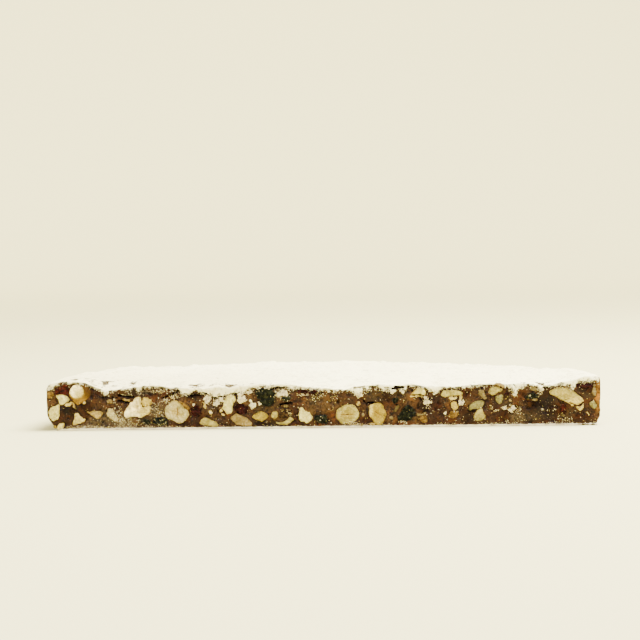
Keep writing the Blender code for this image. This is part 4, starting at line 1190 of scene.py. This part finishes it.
# The lap over the cut: where it starts and ends beside the sugar line, its thickness and its rounded lip
LAP_ROWS = 26
LAP_THICK = 0.35 * MM
LAP_RELIEF = ((0.35 * MM, 2.0 * MM), (0.25 * MM, 0.9 * MM))
LAP_BELOW = 1.6 * MM
LAP_ABOVE = 0.3 * MM
LIP_OUT = 0.6 * MM
LIP_ROUNDING = 1.2 * MM
# Where the sugar has ended, it lies this far under the dough's surface
UNDER = 0.3 * MM
HIDDEN_INSET = 12.0 * MM
HIDDEN_HEIGHT = 11.0 * MM
LATTICE = 3.0 * MM
LATTICE_SOFTENING = 3
# This strip behind the cut shows in front of the pieces above, in millimetres
FRONT_STRIP = 20
# Relief of the top: layers of height and length
TOP_RELIEF = ((1.0 * MM, 13 * MM), (0.5 * MM, 4.0 * MM), (0.3 * MM, 1.6 * MM), (0.14 * MM, 0.8 * MM))
# Dents in the top: place along the cut, distance behind it, half width, depth
DENTS = (
    (-119.3, 13, 1, 2.8), (-121.8, 18, 0.7, 1.6), (-116.4, 17, 0.6, 1.2), (-136, 10, 1.2, 1.6),
    (-139.4, 14, 0.9, 1.2), (-130, 19, 1, 1), (-104, 12, 1, 0.8), (-51, 5, 1.6, 2.2), (-48, 9, 1, 1.2),
    (-38, 8, 1, 1.3), (-70, 10, 1.2, 0.9), (118.4, 3, 1, 2), (117, 7, 0.9, 1.4), (122, 9, 0.9, 1.2),
    (109, 5, 1, 0.9), (-20, 7, 1.2, 0.8), (-94, 30, 2, 0.8), (72, 46, 1.4, 1.2), (38, 22, 2, 0.8),
    (104, 34, 1.3, 1.2), (20, 60, 1.8, 1.3), (-60, 52, 1.5, 1.2), (-12, 90, 1.6, 1.3), (58, 88, 1.4, 1.2),
    (-84, 72, 1.3, 1.2), (3, 36, 1.2, 1.1), (92, 70, 1.6, 1.3),
)


def sugar_line(x):
    """How low the sugar hangs over the cut at a place."""
    x /= MM
    for (x0, z0), (x1, z1) in zip(SUGAR_LINE, SUGAR_LINE[1:]):
        if x < x1:
            return (z0 + (z1 - z0) * max(0.0, (x - x0) / (x1 - x0))) * MM
    return SUGAR_LINE[-1][1] * MM


class Lattice:
    """Heights of the CAD sugar on a square lattice, softened, so that facets don't show."""

    def __init__(self):
        self.wide = int(RADIUS / LATTICE) + 2
        self.heights = np.zeros((2 * self.wide + 1, self.wide + 1))
        reach = RADIUS - 5 * MM
        for i in range(2 * self.wide + 1):
            for j in range(self.wide + 1):
                at = Vector(((i - self.wide) * LATTICE, j * LATTICE))
                if at.length > reach:
                    at *= reach / at.length
                self.heights[i, j] = top_of(CAD_SUGAR, MIDDLE.x + at.x, CUT + at.y)
        for _ in range(LATTICE_SOFTENING):
            padded = np.pad(self.heights, 1, mode="edge")
            sides = padded[:-2, 1:-1] + padded[2:, 1:-1] + padded[1:-1, :-2] + padded[1:-1, 2:]
            self.heights = (self.heights + sides / 4) / 2

    def height(self, x, y):
        i, j = (x - MIDDLE.x) / LATTICE + self.wide, (y - CUT) / LATTICE
        i, j = min(max(i, 0), 2 * self.wide - 0.01), min(max(j, 0), self.wide - 0.01)
        i0, j0 = int(i), int(j)
        a, b = i - i0, j - j0
        h = self.heights
        near = h[i0, j0] * (1 - a) + h[i0 + 1, j0] * a
        far = h[i0, j0 + 1] * (1 - a) + h[i0 + 1, j0 + 1] * a
        return near * (1 - b) + far * b


def on_front(tree, x, z):
    return cast(tree, Vector((x, CUT - 20 * MM, z)), Vector((0, 1, 0)))


def add_top_sheet(bm):
    """The sugar on the top, out to a little inside the rim. Its front is finer."""
    grid = bmesh.ops.create_grid(bm, x_segments=SUGAR_COLUMNS, y_segments=SUGAR_ROWS, size=0.5)["verts"]
    reach = RADIUS - CORE_INSET
    for v in grid:
        across, back = 2 * v.co.x, v.co.y + 0.5
        back = 0.4 * back + 0.6 * back * back
        x = reach * across * math.sqrt(1 - back * back / 2)
        y = reach * back * math.sqrt(1 - across * across / 2)
        v.co = MIDDLE + Vector((x, y, 0))
    front = [edge for edge in bm.edges if all(v.co.y < CUT + FRONT_FINE for v in edge.verts)]
    bmesh.ops.subdivide_edges(bm, edges=front, cuts=FRONT_CUTS, use_grid_fill=True)
    heights = Lattice()
    for v in bm.verts:
        v.co = fuller(Vector((v.co.x, v.co.y, heights.height(v.co.x, v.co.y))))


def add_skirt(bm, dough, thin):
    """The sugar that runs down over the rim's shoulder, and ends raggedly."""
    edges = [edge for edge in open_edges(bm) if not all(v.co.y < CUT + TOUCH for v in edge.verts)]
    over = bm.verts.layers.float["over"]
    for row in range(1, SKIRT_ROWS + 1):
        points, edges = extrude(bm, edges)
        share = row / SKIRT_ROWS
        for v in points:
            out = (v.co - MIDDLE).to_2d()
            angle = math.atan2(max(out.y, 0.0), out.x)
            if row == 1:
                crown, _ = rim_point(dough, angle, math.pi / 2)
                v[over] = v.co.z - crown.z
            patchy = noise.noise(Vector((angle * 22, 0, 1))) + 0.6 * noise.noise(Vector((angle * 70, 0, 2)))
            lowest = SKIRT_LOWEST + SKIRT_SPREAD * patchy + SKIRT_RIGHT * step(-angle, -SKIRT_ENDS, 0.0)
            lowest += SKIRT_LEFT * step(angle, math.pi - SKIRT_ENDS, math.pi)
            turn = math.pi / 2 + (lowest - math.pi / 2) * share
            place, aim = rim_point(dough, angle, turn)
            ragged = 0.7 * noise.noise(place / (1.6 * MM)) + 0.5 * noise.noise(place / (5 * MM))
            cover = 1.3 - 1.5 * share + ragged
            thick = v[over] * (1 - share) + SKIRT_EDGE * share
            thick = (thick + UNDER) * step(cover, 0.0, 0.6) - UNDER
            v.co = place + aim * thick
            v.co.z = under_ceiling(v.co.z)
            v[thin] = 0.65 * step(share, 0.3, 1.0)
            if abs(math.sin(angle)) < 2 * TOUCH / RADIUS:
                v.co.y = CUT


def add_lap(bm, front, thin):
    """The sugar that hangs over the cut. It lies on the cut's own relief, and ends raggedly."""
    edges = [edge for edge in open_edges(bm)
             if all(v.co.y < CUT + TOUCH and v.co.z > sugar_line(v.co.x) + LAP_ABOVE for v in edge.verts)]
    start, end = bm.verts.layers.float["start"], bm.verts.layers.float["end"]
    for v in {v for edge in edges for v in edge.verts}:
        dough_top = top_of(front, v.co.x, CUT + 0.6 * MM)
        v[start] = v.co.z
        v[end] = min(sugar_line(v.co.x), dough_top - 0.5 * MM, v.co.z - 0.6 * MM)
    for row in range(1, LAP_ROWS + 1):
        points, edges = extrude(bm, edges)
        share = row / LAP_ROWS
        for v in points:
            x = v.co.x
            line = v[end]
            z = v[start] + (line - LAP_BELOW - v[start]) * share
            place = on_front(front, x, z)
            split = crack_depth(x / MM, z / MM) > 0.5 * MM
            behind = min(place.y, CUT + (6 if split else 1) * MM) if place else CUT
            spot = Vector((x, 0, z))
            ragged = 1.5 * noise.noise(spot / (2.6 * MM)) + 1.2 * noise.noise(spot / (0.9 * MM))
            cover = (z - line) / (0.9 * MM) + 0.3 + ragged
            fallen = min(1.0, (v[start] - z) / LIP_ROUNDING)
            lip = LIP_OUT * math.sqrt(1 - (1 - fallen) ** 2)
            grainy = rough(spot, *LAP_RELIEF)
            full = step(cover, 0.6, 2.4)
            # Where the sugar is thick it hides the relief below, and where it is thin it follows it
            hidden = CUT - lip - grainy * fallen
            laid = behind - (LAP_THICK + UNDER) * step(cover, -0.1, 0.8) + UNDER
            v.co = Vector((x, min(laid, hidden * full + laid * (1 - full)), z))
            if split:
                v.co.y = behind + 0.2 * MM
            v[thin] = 0.78 * (1 - step(cover, 0.0, 3.6)) + 0.2 * step(-x, 125 * MM, 140 * MM)


def dent_at(x, back):
    """How deep the dents are at a place along the cut and behind it."""
    deepest = 0.0
    for x0, back0, wide, deep in DENTS:
        if abs(x - x0) < 3 * wide:
            long = 1.9 + 0.3 * deep if back0 < FRONT_STRIP else 1.4
            away = (x - x0) ** 2 + ((back - back0) / long) ** 2
            deepest = max(deepest, deep * math.exp(-away / wide ** 2))
    return deepest


def roughen_top(bm, thin, left_shade):
    bm.normal_update()
    moves = []
    for v in bm.verts:
        x, back = (v.co.x - MIDDLE.x) / MM, (v.co.y - CUT) / MM
        out = rough(v.co, *TOP_RELIEF)
        dent = dent_at(x, back)
        left = step(-x, -20, 60)
        speckled = step(noise.noise(v.co / (3 * MM) + Vector((3, 3, 3))), 0.0, 0.4) * step(-back, -60, -12)
        showing = 1.5 * dent ** 0.5 if back < FRONT_STRIP else 0.45 * dent
        v[thin] = min(0.95, showing + speckled * (0.3 + 0.3 * left))
        # Painted shade on the left of the top, less towards the back
        v[left_shade] = 0.8 * left * step(-back, -150, -20)
        moves.append((v, out - dent * MM))
    for v, move in moves:
        v.co.z = under_ceiling(v.co.z + move)


def close_inside(bm):
    """Close the layer inside the dough, where it doesn't show."""
    points, _ = extrude(bm, open_edges(bm))
    for v in points:
        inward = MIDDLE + (v.co - MIDDLE) * (1 - HIDDEN_INSET / RADIUS)
        v.co = Vector((inward.x, max(inward.y, CUT + HIDDEN_INSET), HIDDEN_HEIGHT))
    bmesh.ops.contextual_create(bm, geom=open_edges(bm))
    bmesh.ops.recalc_face_normals(bm, faces=bm.faces)


def sugar_piece(dough, front):
    bm = bmesh.new()
    for name in ("thin", "over", "start", "end", "left_shade"):
        bm.verts.layers.float.new(name)
    add_top_sheet(bm)
    thin, left_shade = bm.verts.layers.float["thin"], bm.verts.layers.float["left_shade"]
    roughen_top(bm, thin, left_shade)
    add_skirt(bm, dough, thin)
    add_lap(bm, front, thin)
    close_inside(bm)
    return new_piece("icing_sugar_layer", bm, sugar_finish(), ["icing_sugar"])


# The wafer

WAFER_STEPS = 700
WAFER_RAGGED = 0.35 * MM
WAFER_INTO_DOUGH = 0.12 * MM


def wafer_piece():
    low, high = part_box("wafer")
    bm = bmesh.new()
    bmesh.ops.create_circle(bm, cap_ends=True, segments=2 * WAFER_STEPS, radius=RADIUS)
    bmesh.ops.bisect_plane(bm, geom=bm.verts[:] + bm.edges[:] + bm.faces[:], plane_co=(0, 0, 0),
                           plane_no=(0, -1, 0), clear_outer=True)
    straight = [edge for edge in bm.edges if all(abs(v.co.y) < TOUCH for v in edge.verts)]
    bmesh.ops.subdivide_edges(bm, edges=straight, cuts=WAFER_STEPS)
    for v in bm.verts:
        out = v.co.normalized()
        ragged = WAFER_RAGGED * (noise.noise(v.co / (3 * MM)) + 0.5 * noise.noise(v.co / (0.9 * MM)))
        if abs(v.co.y) < TOUCH:
            edge = min(max(v.co.x, low.x + TOUCH), high.x - TOUCH)
            v.co = Vector((edge, CUT - ragged, low.z))
        else:
            level = Vector((MIDDLE.x, CUT + JUST_INSIDE, (low.z + high.z) / 2))
            v.co = cast(CAD_WAFER, level + out * FAR, -out) + out * ragged
            v.co.z = low.z
    for v in only(bmesh.types.BMVert, bmesh.ops.extrude_face_region(bm, geom=bm.faces[:])["geom"]):
        v.co.z = BASE + WAFER_INTO_DOUGH
    bmesh.ops.recalc_face_normals(bm, faces=bm.faces)
    return new_piece("wafer_sheet", bm, wafer_finish(), ["wafer"])


# Crumbs of sugar and nut

CRUMB_BATCH = 60
CRUMB_UNEVEN = 0.13 * MM
CRUMB_GRAIN = 0.25 * MM
ALONG_LINE = 1100
ALONG_BASE = 700
LOOSE = 420
DRIFT_SHARE = 0.5
DEEPEST_CRUMB = 2.5 * MM
# Half widths of crumbs, least and most, in millimetres: at the sugar's edge and the base, loose, in drifts
EDGE_CRUMB = (0.1, 0.26)
LOOSE_CRUMB = (0.1, 0.24)
DRIFT_CRUMB = (0.1, 0.27)
# A clump is large from this half width up. For small and large ones: crumbs, least and most share of it
LARGE_CLUMP = 0.8
SMALL_HEAP = (5, 0.15, 0.34)
LARGE_HEAP = (26, 0.18, 0.5)


def crumb_matrix(draw, place, half):
    turn = Euler([draw.uniform(0, math.tau) for _ in range(3)]).to_matrix().to_4x4()
    sizes = Matrix.Diagonal((*(half * draw.uniform(0.6, 1.3) for _ in range(3)), 1.0))
    return Matrix.Translation(place) @ turn @ sizes


def crumb_piece(name, places, finish):
    """One mesh of many small crumbs. Each place is a matrix."""
    meshes = []
    for start in range(0, len(places), CRUMB_BATCH):
        bm = bmesh.new()
        bm.verts.layers.float_color.new("tint")
        for place in places[start:start + CRUMB_BATCH]:
            bmesh.ops.create_icosphere(bm, subdivisions=1, radius=1.0, matrix=place)
        tint = bm.verts.layers.float_color["tint"]
        for v in bm.verts:
            v.co += CRUMB_UNEVEN * noise.noise_vector(v.co / CRUMB_GRAIN)
            v[tint] = CREAM
        meshes.append(made_mesh(bm))
    return new_piece(name, joined(meshes), finish, smooth=False)


def crumb_pieces(front, nut):
    sugar = clump_finish()
    draw = random.Random(SEED)
    small = []
    large = []
    nutty = []

    def drop(x, z, half, heap):
        """Drop a crumb on the cut, unless it would fall into a deep crack."""
        place = on_front(front, x, z)
        if place and place.y < CUT + DEEPEST_CRUMB:
            heap.append(crumb_matrix(draw, place, half * MM))

    for _ in range(ALONG_LINE):
        x = draw.uniform(DOUGH_LOW.x + MM, DOUGH_HIGH.x - MM)
        if noise.noise(Vector((x / (9 * MM), 4, 0))) + draw.uniform(-0.4, 0.6) > 0:
            z = sugar_line(x) - abs(draw.gauss(0, 0.9)) * MM + 0.4 * MM
            drop(x, z, draw.uniform(*EDGE_CRUMB), small)
    for _ in range(ALONG_BASE):
        x = draw.uniform(DOUGH_LOW.x + 4 * MM, DOUGH_HIGH.x - 2 * MM)
        if noise.noise(Vector((x / (12 * MM), 9, 0))) + draw.uniform(-0.3, 0.5) > 0:
            heap = nutty if draw.random() < 0.3 else small
            z = BASE + abs(draw.gauss(0, 0.6)) * MM + 0.1 * MM
            drop(x, z, draw.uniform(*EDGE_CRUMB), heap)
    for _ in range(LOOSE):
        x = draw.uniform(DOUGH_LOW.x + MM, DOUGH_HIGH.x - MM)
        z = draw.uniform(BASE + MM, 21 * MM)
        heap = nutty if draw.random() < 0.7 else small
        drop(x, z, draw.uniform(*LOOSE_CRUMB), heap)
    for x0, z0, x1, z1, wide, count in DRIFTS:
        for _ in range(int(count * DRIFT_SHARE)):
            share = draw.random()
            x = (x0 + (x1 - x0) * share + draw.gauss(0, wide / 2)) * MM
            z = (z0 + (z1 - z0) * share + draw.gauss(0, wide / 2)) * MM
            drop(x, z, draw.uniform(*DRIFT_CRUMB), small if draw.random() < 0.7 else nutty)
    for x, z, half in CLUMPS:
        place = on_front(front, x * MM, z * MM)
        count, least, most = SMALL_HEAP if half < LARGE_CLUMP else LARGE_HEAP
        for _ in range(count):
            stray = Vector([draw.gauss(0, half * 0.42) * MM for _ in range(3)])
            stray.y = -abs(stray.y) * 0.5
            large.append(crumb_matrix(draw, place + stray, half * MM * draw.uniform(least, most)))
    crumb_piece("sugar_crumbs", small, sugar)
    crumb_piece("sugar_clumps", large, sugar)
    crumb_piece("nut_crumbs", nutty, nut)


# Camera, floor and light

ELEVATION = math.radians(3.6)
ROLL = math.radians(0.6)
LENS = 100.0
SENSOR = 36.0
PIXEL = 0.5425 * MM
PICTURE = 640
MIDDLE_PIXEL = (323.5, 427.9)
FLOOR_REACH = 9.0
WALL_BACK = 1.6
SWEEP = 1.0
SWEEP_STEPS = 24
WALL_HEIGHT = 4.0
# The floor glows a little away from the cake, from nothing at the first distance
FLOOR_GLOW = (2.6, 2.35, 1.15, 1)
GLOW_FROM = (0.3, 2.4)
SKY = (1.0, 0.93, 0.74, 1)
SKY_STRENGTH = 0.45
# Each light's name, place, width and power
LIGHTS = (
    ("above", (0.45, 0.0, 1.15), 1.0, 140),
    ("front_left", (-0.8, -1.2, 0.9), 0.6, 34),
    ("front_right", (0.9, -1.3, 0.5), 1.0, 8),
)


def add_camera():
    """The camera stands where the photograph's did, with the cake low in the picture."""
    camera = placed("camera", bpy.data.cameras.new("camera"))
    camera.data.lens = LENS
    camera.data.sensor_width = SENSOR
    up = (MIDDLE_PIXEL[1] - PICTURE / 2) * PIXEL
    right = (PICTURE / 2 - MIDDLE_PIXEL[0]) * PIXEL + up * math.sin(ROLL)
    distance = LENS / SENSOR * PICTURE * PIXEL - up * math.sin(ELEVATION)
    target = Vector((MIDDLE.x + right, CUT, up / math.cos(ELEVATION)))
    back = Vector((0, -math.cos(ELEVATION), math.sin(ELEVATION)))
    turn = (-back).to_track_quat("-Z", "Y").to_matrix().to_4x4() @ Matrix.Rotation(-ROLL, 4, "Z")
    camera.matrix_world = Matrix.Translation(target + back * distance) @ turn
    bpy.context.scene.camera = camera


def add_floor():
    """A floor that sweeps up into a wall behind, both pale and plain."""
    profile = [(-FLOOR_REACH, 0)]
    for share in range(SWEEP_STEPS + 1):
        turn = math.pi / 2 * share / SWEEP_STEPS
        profile.append((WALL_BACK + SWEEP * math.sin(turn), SWEEP * (1 - math.cos(turn))))
    profile.append((WALL_BACK + SWEEP, WALL_HEIGHT))
    bm = bmesh.new()
    line = [bm.verts.new((-FLOOR_REACH, y, z)) for y, z in profile]
    edges = [bm.edges.new(pair) for pair in zip(line, line[1:])]
    points, _ = extrude(bm, edges)
    for v in points:
        v.co.x = FLOOR_REACH
    bmesh.ops.recalc_face_normals(bm, faces=bm.faces)
    finish = Finish("floor", 0.1)
    finish.put("Base Color", FLOOR_IVORY)
    finish.put("Roughness", 0.8)
    away = finish.node("ShaderNodeVectorMath", {"operation": "LENGTH"}, {0: finish.place}, output=1)
    finish.put("Emission Color", FLOOR_GLOW)
    finish.put("Emission Strength", away.between(*GLOW_FROM))
    add_object("floor", bm, finish.material)


def add_light(name, place, size, power):
    light = bpy.data.lights.new(name, "AREA")
    light.shape = "DISK"
    light.size = size
    light.energy = power
    lamp = placed(name, light)
    lamp.location = place
    lamp.rotation_mode = "QUATERNION"
    lamp.rotation_quaternion = (-Vector(place)).to_track_quat("-Z", "Y")


def add_world():
    world = bpy.data.worlds.new("studio")
    world.use_nodes = True
    background = world.node_tree.nodes["Background"]
    background.inputs["Color"].default_value = SKY
    background.inputs["Strength"].default_value = SKY_STRENGTH
    bpy.context.scene.world = world


def build():
    add_camera()
    add_floor()
    add_world()
    for light in LIGHTS:
        add_light(*light)

    nut = nut_finish("cut_nut", 0.55)
    broken = nut_finish("broken_nut", 0.7)
    cherry = fruit_finish("candied_cherry", CHERRY_DARK, CHERRY_RED, 0.15)
    green = fruit_finish("candied_green", GREEN_BLACK, GREEN_LIT, 0.12)
    peel = fruit_finish("candied_peel", PEEL_DARK, PEEL_AMBER, 0.12)
    brown = fruit_finish("honeyed_fruit", DARK_BROWN, GOLDEN, 0.12)
    dark = {kind: [(PLAIN, walks)] for kind, walks in DARK_BITS.items()}
    pieces = [
        pieces_of("hazelnut", "cut_hazelnuts", nut),
        pieces_of("almond", "cut_almonds", nut),
        pieces_of("nut_piece", "broken_nuts", broken, BITS),
        pieces_of("cherry", "candied_cherries", cherry, dark["cherry"]),
        pieces_of("green_fruit", "green_candied_fruit", green, dark["green"]),
        pieces_of("peel", "candied_peel", peel, dark["peel"]),
        pieces_of("peel", "honeyed_fruit", brown, dark["brown"], nodes=[]),
    ]
    dough = dough_piece(surface_of([piece.data for piece in pieces]))
    front = surface_of([piece.data for piece in [dough, *pieces]])
    sugar_piece(surface_of([dough.data]), front)
    wafer_piece()
    crumb_pieces(front, broken)


build()
